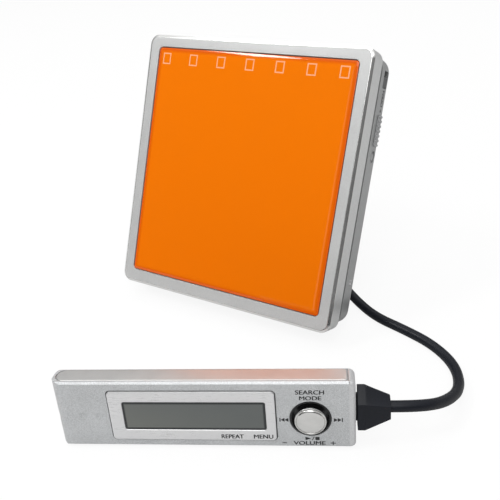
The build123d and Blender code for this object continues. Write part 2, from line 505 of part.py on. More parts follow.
CONTACT_X = CELL_X0 + CELL_L
with BuildPart(player) as battery_contacts:
    for side in (-1, 1):
        with Locations((CONTACT_X + CONTACT_T / 2, CELL_Y + CELL_W / 2 + side * CELL_W / 4, CELL_Z)):
            Box(CONTACT_T, CONTACT_W, CONTACT_W)
keep(battery_contacts, "battery_contacts")

with BuildPart(player) as contact_board:
    with Locations((CONTACT_X + CONTACT_T + CONTACT_BOARD / 2, CELL_Y + CELL_W / 2, REAR_FLOOR + CELL_T / 2)):
        Box(CONTACT_BOARD, CELL_W, CELL_T)
keep(contact_board, "contact_board")

with BuildPart(player) as battery_door:
    with BuildSketch(side_of(player, -REAR_RIGHT, -1)):
        with Locations(((DOOR_LOW + DOOR_HIGH - SLIP) / 2, -(REAR_FLOOR + REAR_TOP) / 2)):
            Rectangle(DOOR_HIGH - DOOR_LOW - SLIP, REAR_TOP - REAR_FLOOR - 2 * SLIP)
    extrude(amount=-DOOR_T)
    with BuildSketch(player.offset(REAR_FLOOR + SLIP)):
        with Locations((DOOR_PIN_X, DOOR_PIN_Y)):
            Circle(DOOR_KNUCKLE)
        with Locations((-REAR_RIGHT + DOOR_T / 2, (DOOR_PIN_Y + DOOR_LOW) / 2)):
            Rectangle(DOOR_T, DOOR_LOW - DOOR_PIN_Y)
    extrude(amount=REAR_TOP - REAR_FLOOR - 2 * SLIP)
    with Locations((DOOR_PIN_X, DOOR_PIN_Y, CELL_Z)):
        Cylinder(DOOR_PIN_R + RUN, 2 * CELL_T, mode=Mode.SUBTRACT)
keep(battery_door, "battery_door")

with BuildPart(player) as door_pin:
    with BuildSketch(player.offset(REAR_FLOOR)):
        with Locations((DOOR_PIN_X, DOOR_PIN_Y)):
            Circle(DOOR_PIN_R)
    extrude(amount=REAR_TOP - REAR_FLOOR)
keep(door_pin, "door_pin")

# =============================================================================
# Circuit board and sockets in the rear shell
# =============================================================================
BOARD_H = DOOR_PIN_Y - REAR_INSET - REAR_WALL - SLIP
BOARD_Y = REAR_INSET + REAR_WALL + SLIP + BOARD_H / 2
SOCKETS = {"remote_socket": (REMOTE_JACK_Y, JACK_R, JACK_DEPTH), "dc_socket": (DC_Y, DC_R, DC_DEPTH)}
SOCKET_Z = REAR_FLOOR + JACK_BLOCK / 2
SOCKET_X = -REAR_RIGHT + REAR_WALL
BOARD_W = REAR_W - 2 * REAR_WALL - 2 * SLIP

with BuildPart(player) as main_board:
    with BuildSketch(player.offset(REAR_FLOOR)):
        with Locations((0, BOARD_Y)):
            RectangleRounded(BOARD_W, BOARD_H, REAR_R - REAR_WALL)
        with Locations(*POSTS):
            Circle(POST_R + SLIP, mode=Mode.SUBTRACT)
        for y, bore, depth in SOCKETS.values():
            with Locations((SOCKET_X, y)):
                Rectangle(2 * (depth + SOCKET_END + CLEAR), SOCKET_W + 2 * CLEAR, mode=Mode.SUBTRACT)
        with Locations((RIGHT, SIDE_SCREW_Y)):
            Rectangle(2 * (RIGHT - SCREW_LUG_X + CLEAR), SCREW_LUG_W + 2 * CLEAR, mode=Mode.SUBTRACT)
    extrude(amount=BOARD_T)
keep(main_board, "main_board")

with BuildPart(player) as board_chips:
    for across, up, wide, tall, high in CHIPS:
        chip_x, chip_y = across * BOARD_W / 2, BOARD_Y + (up - 0.5) * BOARD_H
        with Locations((chip_x, chip_y, REAR_FLOOR + BOARD_T + high / 2)):
            Box(wide, tall, high)
keep(board_chips, "board_chips")

for name, (y, bore, depth) in SOCKETS.items():
    with BuildPart(player) as socket:
        with Locations((SOCKET_X + (depth + SOCKET_END) / 2, y, SOCKET_Z)):
            Box(depth + SOCKET_END, SOCKET_W, JACK_BLOCK)
        with Locations((SOCKET_X + depth / 2, y, SOCKET_Z)):
            Cylinder(bore + RUN, depth, rotation=(0, 90, 0), mode=Mode.SUBTRACT)
    keep(socket, name)

# =============================================================================
# Controls on the right side
# =============================================================================
right_face = side_of(player, REAR_RIGHT)

with BuildPart(player) as open_slider:
    with BuildSketch(right_face.offset(RUN)):
        with Locations((OPEN_Y, KEY_Z)):
            RectangleRounded(OPEN_L, OPEN_W, OPEN_R)
    extrude(amount=KNOB_PROUD)
    with BuildSketch(right_face.offset(RUN + KNOB_PROUD)):
        with Locations((OPEN_Y, KEY_Z)):
            with GridLocations(RIB_PITCH, 0, OPEN_RIBS, 1):
                Rectangle(RIB_PITCH / 2, OPEN_W)
    extrude(amount=-KNOB_PROUD / 2, mode=Mode.SUBTRACT)
    with BuildSketch(right_face.offset(RUN)):
        with Locations((NECK_Y, KEY_Z)):
            Rectangle(NECK_L, NECK_W)
    extrude(amount=-(REAR_WALL + 2 * RUN))
keep(open_slider, "open_slider")

BAR_Y = OPEN_Y + (BAR_L - OPEN_L) / 2
with BuildPart(player) as latch_bar:
    with Locations((BAR_X, BAR_Y, KEY_Z)):
        Box(BAR_T, BAR_L, BAR_W)
    with Locations((BAR_X, HOOK_Y, (KEY_Z + HOOK_TOP) / 2)):
        Box(BAR_T, HOOK_W, HOOK_TOP - KEY_Z)
    with Locations((BAR_X, HOOK_Y - (HOOK_W + NOSE) / 2, HOOK_TOP - NOSE / 2)):
        Box(BAR_T, NOSE, NOSE)
keep(latch_bar, "latch_bar")

with BuildPart(player) as latch_spring:
    with Locations((WALL_IN - LATCH_SPRING_R, BAR_Y + (BAR_L + LATCH_SPRING_L) / 2, KEY_Z)):
        Cylinder(LATCH_SPRING_R, LATCH_SPRING_L, rotation=(90, 0, 0))
        Cylinder(LATCH_SPRING_R - WIRE, LATCH_SPRING_L, rotation=(90, 0, 0), mode=Mode.SUBTRACT)
keep(latch_spring, "latch_spring")

HOLD_KNOB_Y = HOLD_Y - HOLD_TRAVEL / 2
with BuildPart(player) as hold_switch:
    with BuildSketch(right_face.offset(-SLIP)):
        with Locations((HOLD_KNOB_Y, KEY_Z)):
            RectangleRounded(HOLD_KNOB_L, HOLD_W, HOLD_KNOB_R)
    extrude(amount=-(REAR_WALL + SLIP))
    with Locations((BAR_X - SLIP, HOLD_KNOB_Y, KEY_Z)):
        Box(BAR_T, HOLD_KNOB_L, HOLD_W + BAR_T)
keep(hold_switch, "hold_switch")

with BuildPart(player) as play_button:
    with BuildSketch(right_face.offset(-SLIP)):
        with Locations((PLAY_Y, KEY_Z)):
            Circle(PLAY_R)
    extrude(amount=-REAR_WALL)
    with BuildSketch(right_face.offset(-REAR_WALL - SLIP)):
        with Locations((PLAY_Y, KEY_Z)):
            Circle(PLAY_R + CLEAR)
    extrude(amount=-BAR_T / 2)
keep(play_button, "play_button")

with BuildPart(player) as play_contact:
    contact_x = BAR_X - BAR_T / 2 - PLAY_TRAVEL - CONTACT_W / 2
    with Locations((contact_x, PLAY_Y, REAR_FLOOR + BOARD_T + CONTACT_W / 2)):
        Box(CONTACT_W, CONTACT_W, CONTACT_W)
keep(play_contact, "play_contact")

with BuildPart(player) as side_screw:
    with BuildSketch(right_face):
        with Locations((SIDE_SCREW_Y, SIDE_SCREW_Z)):
            Circle(SCREW_HEAD_R)
            Rectangle(CROSS_L, CROSS_W, mode=Mode.SUBTRACT)
            Rectangle(CROSS_W, CROSS_L, mode=Mode.SUBTRACT)
    extrude(amount=-SCREW_HEAD_T)
    with BuildSketch(right_face.offset(-SCREW_HEAD_T)):
        with Locations((SIDE_SCREW_Y, SIDE_SCREW_Z)):
            Circle(SCREW_SHANK_R)
    extrude(amount=-(REAR_RIGHT - SCREW_HEAD_T - SCREW_LUG_X))
keep(side_screw, "side_screw")

# =============================================================================
# Remote: housing
# =============================================================================
BODY_L = STICK_L - END_CAP                 # length of the two shells
STICK_MID = STICK_H / 2
INNER_FACE = STICK_T - STICK_WALL
PLATE_LOW, PLATE_HIGH = TOP_PLATE_FOOT, STICK_T - TOP_PLATE_IN
BEZEL_L, BEZEL_H = BEZEL_LEFT + WINDOW_L + BEZEL_RIGHT, BEZEL_UNDER + WINDOW_H + BEZEL_OVER
BEZEL_MID = (WINDOW_X - BEZEL_LEFT + BEZEL_L / 2, WINDOW_Y - BEZEL_UNDER + BEZEL_H / 2)
WINDOW_MID = (WINDOW_X + WINDOW_L / 2, WINDOW_Y + WINDOW_H / 2)
STICK_KEY_X, STICK_HOLD_X = STICK_L - STICK_KEY_RIGHT, STICK_L - STICK_HOLD_RIGHT
CLIP_X = STICK_L - CLIP_RIGHT
REPEAT_X, MENU_X, VOLUME_X = STICK_L - REPEAT_RIGHT, STICK_L - MENU_RIGHT, STICK_L - VOLUME_RIGHT


def outline(x0, x1, inset, radius):
    """The remote's rounded outline between two stations along it, in the current sketch."""
    with Locations((STICK_L / 2, STICK_MID)):
        RectangleRounded(STICK_L - 2 * inset, STICK_H - 2 * inset, radius)
    with Locations((STICK_L / 4 + inset, STICK_H * 3 / 4 - inset)):
        RectangleRounded(STICK_L / 2, STICK_H / 2, min(radius, STICK_TIGHT))
    with Locations(((x0 + x1) / 2, STICK_MID)):
        Rectangle(x1 - x0, STICK_H, mode=Mode.INTERSECT)


def half_round(left, low, high, foot, top):
    """Bar in the remote's own coordinates, between two depths and two heights, round at its left end."""
    radius = (high - low) / 2
    with BuildPart() as bar:
        with BuildSketch(Plane((0, foot, 0), x_dir=(1, 0, 0), z_dir=(0, 1, 0))):
            with Locations((left + radius, -(low + high) / 2)):
                Circle(radius)
                Rectangle(STICK_L - left - radius, high - low, align=(Align.MIN, Align.CENTER))
        extrude(amount=top - foot)
    return bar.part


def hollow():
    """Room inside the two shells, in the remote's own coordinates."""
    with BuildPart() as room:
        with BuildSketch(Plane.XY.offset(STICK_FLOOR)):
            outline(STICK_WALL, BODY_L, STICK_WALL, STICK_R - STICK_WALL)
        extrude(amount=INNER_FACE - STICK_FLOOR)
        add(half_round(STICK_WALL, STICK_FLOOR, INNER_FACE, 0, STICK_H), mode=Mode.INTERSECT)
    return room.part


def rim_of(piece, seam, highest):
    """Outer edges of a piece's foremost or rearmost face, without the one along the seam at x = seam."""
    face = piece.faces().sort_by(axis_of(stick, stick.z_dir))[-1 if highest else 0]
    return [edge for edge in face.edges() if abs(stick.to_local_coords(edge.center()).X - seam) > CLEAR]


def top_plate(grow, gap):
    """Brushed plate let into the top side, in the remote's own coordinates; its pocket is taller and wider."""
    with BuildPart() as plate:
        add(half_round(TOP_PLATE_LEFT - gap, PLATE_LOW - gap, PLATE_HIGH + gap, STICK_H - TOP_PLATE_T,
                       STICK_H + grow))
        split(bisect_by=Plane((STICK_L - TOP_PLATE_RIGHT + gap, 0, 0), z_dir=(1, 0, 0)), keep=Keep.BOTTOM)
    return plate.part


def earphone_hole():
    """Way for the earphone plug through the left end wall."""
    with Locations((0, STICK_KEY_Y, EARPHONE_Z)):
        Cylinder(JACK_R + CLEAR, STICK_T, rotation=(0, 90, 0), mode=Mode.SUBTRACT)


with BuildPart(stick) as remote_front_shell:
    with BuildSketch(stick.offset(PARTING)):
        outline(0, BODY_L, 0, STICK_R)
    extrude(amount=STICK_T - PARTING)
    chamfer(rim_of(remote_front_shell, BODY_L, True), STICK_EDGE)
    add(half_round(0, 0, STICK_T, 0, STICK_H), mode=Mode.INTERSECT)
    add([hollow(), top_plate(STICK_WALL, TOP_PLATE_GAP)], mode=Mode.SUBTRACT)
    earphone_hole()
    # seat of the display's frame and the way through behind its window
    with BuildSketch(stick.offset(STICK_T)):
        with Locations(BEZEL_MID):
            RectangleRounded(BEZEL_L + 2 * BEZEL_SLOT, BEZEL_H + 2 * BEZEL_SLOT, BEZEL_R + BEZEL_SLOT)
    extrude(amount=-BEZEL_SEAT, mode=Mode.SUBTRACT)
    with BuildSketch(stick.offset(INNER_FACE)):
        with Locations(WINDOW_MID):
            Rectangle(WINDOW_L - 2 * BEZEL_LEDGE, WINDOW_H - 2 * BEZEL_LEDGE)
        with Locations((STICK_KEY_X, STICK_KEY_Y)):
            Circle(WELL_R + RUN)
    extrude(amount=STICK_WALL, mode=Mode.SUBTRACT)
    # two finger dimples
    for x, y in DIMPLES:
        with Locations((x, y, STICK_T + DIMPLE_BALL - DIMPLE_DEEP)):
            Sphere(DIMPLE_BALL, mode=Mode.SUBTRACT)
    # windows of the keys on the lower side
    for x, length in ((REPEAT_X, FOOT_KEY_L), (MENU_X, FOOT_KEY_L), (VOLUME_X, VOLUME_L)):
        with Locations((x, 0, FOOT_KEY_Z)):
            Box(length + 2 * SLIP, 2 * STICK_WALL, FOOT_KEY_W + 2 * SLIP, mode=Mode.SUBTRACT)
    with Locations((VOLUME_X, ROCKER_Y, (PARTING + INNER_FACE) / 2)):
        Cylinder(ROCKER_PIN_R, INNER_FACE - PARTING)
keep(remote_front_shell, "remote_front_shell")

with BuildPart(stick) as remote_rear_shell:
    with BuildSketch(stick):
        outline(0, BODY_L, 0, STICK_R)
    extrude(amount=PARTING)
    fillet(rim_of(remote_rear_shell, BODY_L, False), STICK_BACK_ROUND)
    add(half_round(0, 0, STICK_T, 0, STICK_H), mode=Mode.INTERSECT)
    add([hollow(), top_plate(STICK_WALL, TOP_PLATE_GAP)], mode=Mode.SUBTRACT)
    earphone_hole()
    with Locations((STICK_HOLD_X, STICK_HOLD_Y + STICK_HOLD_WAY / 2, 0)):
        Box(STICK_HOLD_W + 2 * SLIP, STICK_HOLD_L + STICK_HOLD_WAY + 2 * SLIP, 2 * STICK_FLOOR,
            mode=Mode.SUBTRACT)
    # ears that carry the clip
    for side in (-1, 1):
        with Locations((CLIP_X + side * CLIP_EAR_X, CLIP_PIN_Y, -CLIP_PIN_DEEP)):
            Cylinder(CLIP_EAR_R, CLIP_EAR_W, rotation=(0, 90, 0))
        with Locations((CLIP_X + side * CLIP_EAR_X, CLIP_PIN_Y, -CLIP_PIN_DEEP / 2)):
            Box(CLIP_EAR_W, 2 * CLIP_EAR_R, CLIP_PIN_DEEP)
    with Locations((CLIP_X, CLIP_PIN_Y, -CLIP_PIN_DEEP)):
        Cylinder(CLIP_PIN_R, CLIP_L, rotation=(0, 90, 0), mode=Mode.SUBTRACT)
keep(remote_rear_shell, "remote_rear_shell")

with BuildPart(stick) as remote_end_cap:
    with BuildSketch(stick):
        outline(BODY_L, STICK_L, 0, STICK_R)
    extrude(amount=STICK_T)
    chamfer(rim_of(remote_end_cap, BODY_L, True), STICK_EDGE)
    fillet(rim_of(remote_end_cap, BODY_L, False), STICK_BACK_ROUND)
    with Locations((STICK_L, RELIEF_Y, STICK_T / 2)):
        Box(2 * END_CAP, NECK_TALL, NECK_DEEP, mode=Mode.SUBTRACT)
keep(remote_end_cap, "remote_end_cap")

with BuildPart(stick) as remote_top_plate:
    add(top_plate(0, 0))
keep(remote_top_plate, "remote_top_plate")

# =============================================================================
# Remote: display
# =============================================================================
BEZEL_FOOT = STICK_T - BEZEL_SEAT

with BuildPart(stick) as display_bezel:
    with BuildSketch(stick.offset(BEZEL_FOOT)):
        with Locations(BEZEL_MID):
            RectangleRounded(BEZEL_L, BEZEL_H, BEZEL_R)
        with Locations(WINDOW_MID):
            RectangleRounded(WINDOW_L, WINDOW_H, BEZEL_R / 2, mode=Mode.SUBTRACT)
    extrude(amount=BEZEL_SEAT + BEZEL_PROUD)
keep(display_bezel, "display_bezel")

with BuildPart(stick) as display_window:
    with BuildSketch(stick.offset(BEZEL_FOOT)):
        with Locations(WINDOW_MID):
            RectangleRounded(WINDOW_L - 2 * RUN, WINDOW_H - 2 * RUN, BEZEL_R / 2)
    extrude(amount=GLASS_T)
keep(display_window, "display_window")

with BuildPart(stick) as display_panel:
    with Locations((*WINDOW_MID, INNER_FACE - LCD_T / 2)):
        Box(WINDOW_L + 2 * LCD_BORDER, WINDOW_H + 2 * LCD_BORDER, LCD_T)
keep(display_panel, "display_panel")

# =============================================================================
# Remote: board, earphone socket and key switches
# =============================================================================
STICK_BOARD_TOP = STICK_FLOOR + STICK_BOARD_T
EARPHONE_L = JACK_DEPTH + STICK_WALL

with BuildPart(stick) as remote_board:
    with BuildSketch(stick.offset(STICK_FLOOR)):
        with Locations(((EARPHONE_L + SOCKET_PINS + BODY_L - CLEAR) / 2, STICK_MID)):
            Rectangle(BODY_L - EARPHONE_L - SOCKET_PINS - CLEAR, STICK_H - 2 * STICK_BOARD_IN)
        with Locations((STICK_HOLD_X, STICK_HOLD_Y + STICK_HOLD_WAY / 2)):
            Rectangle(STICK_HOLD_W + 4 * CLEAR, STICK_HOLD_L + STICK_HOLD_WAY + 4 * CLEAR, mode=Mode.SUBTRACT)
    extrude(amount=STICK_BOARD_T)
keep(remote_board, "remote_board")

with BuildPart(stick) as key_switches:
    for x in (REPEAT_X, MENU_X, VOLUME_X - VOLUME_L / 3, VOLUME_X + VOLUME_L / 3):
        with Locations((x, SWITCH_Y, STICK_BOARD_TOP + SWITCH_W / 2)):
            Box(SWITCH_W, SWITCH_T, SWITCH_W)
keep(key_switches, "key_switches")

with BuildPart(stick) as earphone_socket:
    with Locations((STICK_WALL + EARPHONE_L / 2, STICK_KEY_Y, EARPHONE_Z)):
        Box(EARPHONE_L, SOCKET_W, EARPHONE_BLOCK)
    add(half_round(STICK_WALL + RUN, STICK_FLOOR + RUN, INNER_FACE - RUN, 0, STICK_H), mode=Mode.INTERSECT)
    with Locations((STICK_WALL + JACK_DEPTH / 2, STICK_KEY_Y, EARPHONE_Z)):
        Cylinder(JACK_R + RUN, JACK_DEPTH, rotation=(0, 90, 0), mode=Mode.SUBTRACT)
keep(earphone_socket, "earphone_socket")

# =============================================================================
# Remote: control stick, its well and its gimbal
# =============================================================================
WELL_FLOOR = STICK_PIVOT + GIMBAL_T / 2 + WELL_OVER      # underside of the well
LEG_X = GIMBAL_R + CLEAR + LEG_T / 2


def stick_pins(reach, radius, turned, mode=Mode.ADD):
    """Pin across the gimbal, out to both sides."""
    turn = (90, 0, 0) if turned else (0, 90, 0)
    with Locations((STICK_KEY_X, STICK_KEY_Y, STICK_PIVOT)):
        Cylinder(radius, 2 * reach, rotation=turn, mode=mode)


with BuildPart(stick) as stick_well:
    with BuildSketch(stick.offset(WELL_FLOOR)):
        with Locations((STICK_KEY_X, STICK_KEY_Y)):
            Circle(WELL_R)
            Circle(STEM_R + 2 * CLEAR, mode=Mode.SUBTRACT)
    extrude(amount=STICK_T - WELL_FLOOR - RUN)
    with BuildSketch(stick.offset(WELL_FLOOR + WELL_SKIN)):
        with Locations((STICK_KEY_X, STICK_KEY_Y)):
            Circle(WELL_R - WELL_SKIN)
    extrude(amount=STICK_T, mode=Mode.SUBTRACT)
    for side in (-1, 1):
        with Locations((STICK_KEY_X + side * LEG_X, STICK_KEY_Y, (STICK_BOARD_TOP + WELL_FLOOR) / 2)):
            Box(LEG_T, 2 * LEG_T, WELL_FLOOR - STICK_BOARD_TOP)
    stick_pins(LEG_X + LEG_T, GIMBAL_PIN_R + RUN, False, Mode.SUBTRACT)
keep(stick_well, "stick_well")

with BuildPart(stick) as stick_gimbal:
    with Locations((STICK_KEY_X, STICK_KEY_Y, STICK_PIVOT)):
        Cylinder(GIMBAL_R, GIMBAL_T)
    stick_pins(LEG_X + LEG_T / 2, GIMBAL_PIN_R, False)
    with Locations((STICK_KEY_X, STICK_KEY_Y, STICK_PIVOT)):
        Cylinder(GIMBAL_R - GIMBAL_RING, 2 * GIMBAL_T, mode=Mode.SUBTRACT)
    stick_pins(GIMBAL_R + CLEAR, GIMBAL_PIN_R + RUN, True, Mode.SUBTRACT)
keep(stick_gimbal, "stick_gimbal")

CAP_FOOT = STICK_T + CAP_PROUD - CAP_T
STEM_TOP = CAP_FOOT + SLIP

with BuildPart(stick) as stick_stem:
    with BuildSketch(stick.offset(STICK_PIVOT - GIMBAL_T / 2)):
        with Locations((STICK_KEY_X, STICK_KEY_Y)):
            Circle(STEM_R)
    extrude(amount=STEM_TOP - STICK_PIVOT + GIMBAL_T / 2)
    stick_pins(GIMBAL_R - RUN, GIMBAL_PIN_R, True)
keep(stick_stem, "stick_stem")

with BuildPart(stick) as stick_cap:
    with BuildSketch(stick.offset(CAP_FOOT)):
        with Locations((STICK_KEY_X, STICK_KEY_Y)):
            Circle(CAP_R)
    extrude(amount=CAP_T)
    fillet(stick_cap.faces().sort_by(axis_of(stick, stick.z_dir))[-1].edges(), CAP_T / 2)
    with BuildSketch(stick.offset(CAP_FOOT)):
        with Locations((STICK_KEY_X, STICK_KEY_Y)):
            Circle(STEM_R + HUB_WALL)
    extrude(amount=-HUB_L)
    with BuildSketch(stick.offset(CAP_FOOT - HUB_L)):
        with Locations((STICK_KEY_X, STICK_KEY_Y)):
            Circle(STEM_R + RUN)
    extrude(amount=STEM_TOP + PUSH + SLIP - CAP_FOOT + HUB_L, mode=Mode.SUBTRACT)
keep(stick_cap, "stick_cap")

# =============================================================================
# Remote: keys on the lower side, lock slider on the back, clip
# =============================================================================
for name, x in (("repeat_key", REPEAT_X), ("menu_key", MENU_X)):
    with BuildPart(stick) as key:
        with Locations((x, KEY_SUNK + STICK_WALL / 2, FOOT_KEY_Z)):
            Box(FOOT_KEY_L, STICK_WALL, FOOT_KEY_W)
        with Locations((x, STICK_WALL + KEY_SUNK + FLANGE_T / 2, FOOT_KEY_Z)):
            Box(FOOT_KEY_L + 2 * CLEAR, FLANGE_T, FOOT_KEY_W + 2 * SLIP + CLEAR)
    keep(key, name)

with BuildPart(stick) as volume_rocker:
    with Locations((VOLUME_X, KEY_SUNK + ROCKER_T / 2, FOOT_KEY_Z)):
        Box(VOLUME_L, ROCKER_T, FOOT_KEY_W)
    with Locations((VOLUME_X, ROCKER_Y, FOOT_KEY_Z)):
        Cylinder(ROCKER_HUB_R, FOOT_KEY_W)
        Cylinder(ROCKER_PIN_R + RUN, FOOT_KEY_W, mode=Mode.SUBTRACT)
keep(volume_rocker, "volume_rocker")

with BuildPart(stick) as remote_hold_switch:
    with Locations((STICK_HOLD_X, STICK_HOLD_Y, (STICK_FLOOR + RUN - KNOB_PROUD) / 2)):
        Box(STICK_HOLD_W, STICK_HOLD_L, STICK_FLOOR + RUN + KNOB_PROUD)
    with Locations((STICK_HOLD_X, STICK_HOLD_Y, STICK_FLOOR + RUN + FLANGE_T / 2)):
        Box(STICK_HOLD_W + 2 * CLEAR, STICK_HOLD_L, FLANGE_T)
keep(remote_hold_switch, "remote_hold_switch")

with BuildPart(stick) as remote_clip:
    with Locations((CLIP_X, CLIP_Y + CLIP_H / 2, -CLIP_GAP - CLIP_T / 2)):
        Box(CLIP_L, CLIP_H, CLIP_T)
    fillet(remote_clip.edges().filter_by(axis_of(stick, stick.z_dir)), CLIP_T)
    with Locations((CLIP_X, CLIP_Y + CLIP_T, -CLIP_GAP / 2 - SLIP / 2)):
        Box(CLIP_L - 2 * CLIP_T, CLIP_T, CLIP_GAP - SLIP)
    for side in (-1, 1):
        ear_x = CLIP_X + side * (CLIP_EAR_X - CLIP_EAR_W - SLIP)
        with Locations((ear_x, CLIP_PIN_Y, -CLIP_PIN_DEEP)):
            Cylinder(CLIP_EAR_R, CLIP_EAR_W, rotation=(0, 90, 0))
        with Locations((ear_x, CLIP_PIN_Y, -(CLIP_PIN_DEEP + CLIP_GAP) / 2)):
            Box(CLIP_EAR_W, 2 * CLIP_EAR_R, CLIP_GAP - CLIP_PIN_DEEP)
    with Locations((CLIP_X, CLIP_PIN_Y, -CLIP_PIN_DEEP)):
        Cylinder(CLIP_PIN_R + RUN, CLIP_L, rotation=(0, 90, 0), mode=Mode.SUBTRACT)
keep(remote_clip, "remote_clip")

with BuildPart(stick) as clip_pin:
    with Locations((CLIP_X, CLIP_PIN_Y, -CLIP_PIN_DEEP)):
        Cylinder(CLIP_PIN_R, 2 * CLIP_EAR_X + CLIP_EAR_W, rotation=(0, 90, 0))
keep(clip_pin, "clip_pin")

with BuildPart(stick) as clip_spring:
    with Locations((CLIP_X, CLIP_PIN_Y, -CLIP_PIN_DEEP)):
        Cylinder(CLIP_PIN_R + RUN + WIRE, CLIP_EAR_X, rotation=(0, 90, 0))
        Cylinder(CLIP_PIN_R + RUN, CLIP_EAR_X, rotation=(0, 90, 0), mode=Mode.SUBTRACT)
keep(clip_spring, "clip_spring")

# =============================================================================
# Lead: strain relief, tube, coil, tie and plug
# =============================================================================
RELIEF_START = STICK_L + RELIEF_GAP
RELIEF_END = RELIEF_START + RELIEF_L
RELIEF_Z = STICK_T / 2


def relief_corners(tall, deep):
    """Corners of the strain relief's section across the remote's length."""
    return [(RELIEF_Y + up * tall, RELIEF_Z + out * deep) for up, out in RELIEF_SHAPE]


with BuildPart(stick) as strain_relief:
    with BuildSketch(side_of(stick, RELIEF_START)):
        Polygon(*relief_corners(RELIEF_TALL, RELIEF_DEEP), align=None)
    extrude(amount=RELIEF_STRAIGHT)
    with BuildSketch(side_of(stick, RELIEF_START + RELIEF_STRAIGHT)):
        Polygon(*relief_corners(RELIEF_TALL, RELIEF_DEEP), align=None)
    with BuildSketch(side_of(stick, RELIEF_END)):
        Polygon(*relief_corners(TIP_TALL, TIP_DEEP), align=None)
    loft()
    with Locations(((BODY_L + RELIEF_START) / 2, RELIEF_Y, RELIEF_Z)):
        Box(RELIEF_START - BODY_L, NECK_TALL, NECK_DEEP)
keep(strain_relief, "strain_relief")


def on_floor(x, y, z):
    """Point given from the player's foot."""
    return Vector(PLAYER_X + x, PLAYER_Y + y, z)


def tube(points, name):
    """Cord of straight runs joined by arcs as large as the runs allow; prints the arcs' radii."""
    bends = []
    for before, corner, after in zip(points, points[1:], points[2:]):
        run = min((corner - before).length, (after - corner).length)
        turn = radians((corner - before).get_angle(after - corner))
        bends.append(ARC_SHARE * run / tan(turn / 2))
    with BuildPart() as cord:
        with BuildLine() as path:
            FilletPolyline(*points, radius=bends)
        with BuildSketch(Plane(origin=points[0], z_dir=points[1] - points[0])):
            Circle(CORD_D / 2)
        sweep()
    length = path.wire().length
    print(name, "length", round(length, 1), "bends", [round(bend, 1) for bend in bends],
          "volume share", round(cord.part.volume / (pi * CORD_D ** 2 / 4 * length), 4))
    keep(cord, name)


def coil_tangent(radius, angle, layer):
    """Where a turn leaves the coil, and the way the cord runs there."""
    turn = radians(angle)
    at = on_floor(COIL_X + radius * cos(turn), COIL_Y + radius * sin(turn), CORD_D * (layer + 0.5))
    return at, Vector(-sin(turn), cos(turn), 0)


coil_in, way_in = coil_tangent(COIL_IN_R, COIL_IN, 0)
coil_out, way_out = coil_tangent(COIL_OUT_R, COIL_OUT, COIL_HIGH - 1)
relief_tip = stick.from_local_coords(Vector(RELIEF_END, RELIEF_Y, RELIEF_Z))
PLUG_MID_X = -REAR_RIGHT - RUN - PLUG_L / 2
tail_tip = player.from_local_coords(Vector(PLUG_MID_X, REMOTE_JACK_Y, REAR_FLOOR - TAIL_L))

tube([relief_tip, relief_tip + stick.x_dir * FIRST_RUN,
      *[on_floor(*point) for point in FRONT_ROUTE],
      coil_in - way_in * STUB_IN], "cord_front")
tube([coil_out + way_out * STUB_OUT, coil_out + way_out * (STUB_OUT + FIRST_RUN),
      *[on_floor(*point) for point in REAR_ROUTE],
      tail_tip - player.z_dir * FIRST_RUN, tail_tip], "cord_rear")

COIL_CORE = Plane(origin=on_floor(COIL_X, COIL_Y, 0))
with BuildPart() as cord_tie:
    with Locations(COIL_CORE.rotated((0, 0, TIE_AT)).location):
        with Locations((COIL_MID_R, 0, (CORD_D * COIL_HIGH + TIE_T) / 2)):
            Box(CORD_D * COIL_WIDE + 2 * TIE_T, TIE_W, CORD_D * COIL_HIGH + TIE_T)
        with Locations((COIL_MID_R, 0, (CORD_D * COIL_HIGH + TIE_T) / 2)):
            Box(CORD_D * COIL_WIDE, TIE_W, CORD_D * COIL_HIGH - TIE_T, mode=Mode.SUBTRACT)
keep(cord_tie, "cord_tie")

with BuildPart() as cord_coil:
    with BuildSketch(Plane(origin=COIL_CORE.origin, x_dir=(1, 0, 0), z_dir=(0, -1, 0))):
        with Locations((COIL_MID_R, CORD_D * COIL_HIGH / 2)):
            RectangleRounded(CORD_D * COIL_WIDE, CORD_D * COIL_HIGH, CORD_D / 2)
    revolve(axis=Axis(COIL_CORE.origin, (0, 0, 1)))
    for at, way, stub in ((coil_in, way_in * -1, STUB_IN), (coil_out, way_out, STUB_OUT)):
        with BuildSketch(Plane(origin=at, z_dir=way)):
            Circle(CORD_D / 2)
        extrude(amount=stub)
    add(cord_tie.part, mode=Mode.SUBTRACT)
keep(cord_coil, "cord_coil")

with BuildPart(player) as lead_plug:
    with BuildSketch(side_of(player, -REAR_RIGHT - RUN, -1)):
        with Locations((REMOTE_JACK_Y, -SOCKET_Z)):
            RectangleRounded(PLUG_TALL, PLUG_DEEP, PLUG_R)
    extrude(amount=PLUG_L)
    fillet(lead_plug.faces().sort_by(RIGHT_WAY)[0].edges(), PLUG_R)
    with BuildSketch(player.offset(REAR_FLOOR - TAIL_L)):
        with Locations((PLUG_MID_X, REMOTE_JACK_Y)):
            Circle(TAIL_R)
    extrude(amount=TAIL_L + PLUG_DEEP / 2)
    with Locations((-REAR_RIGHT + (REAR_WALL + JACK_DEPTH - CLEAR - RUN) / 2, REMOTE_JACK_Y, SOCKET_Z)):
        Cylinder(JACK_R, REAR_WALL + JACK_DEPTH - CLEAR + RUN, rotation=(0, 90, 0))
keep(lead_plug, "lead_plug")

print(len(os.listdir("parts")), "files")
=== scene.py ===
import json
from math import cos, pi, radians

import bmesh
import bpy
import numpy as np
from mathutils import Matrix


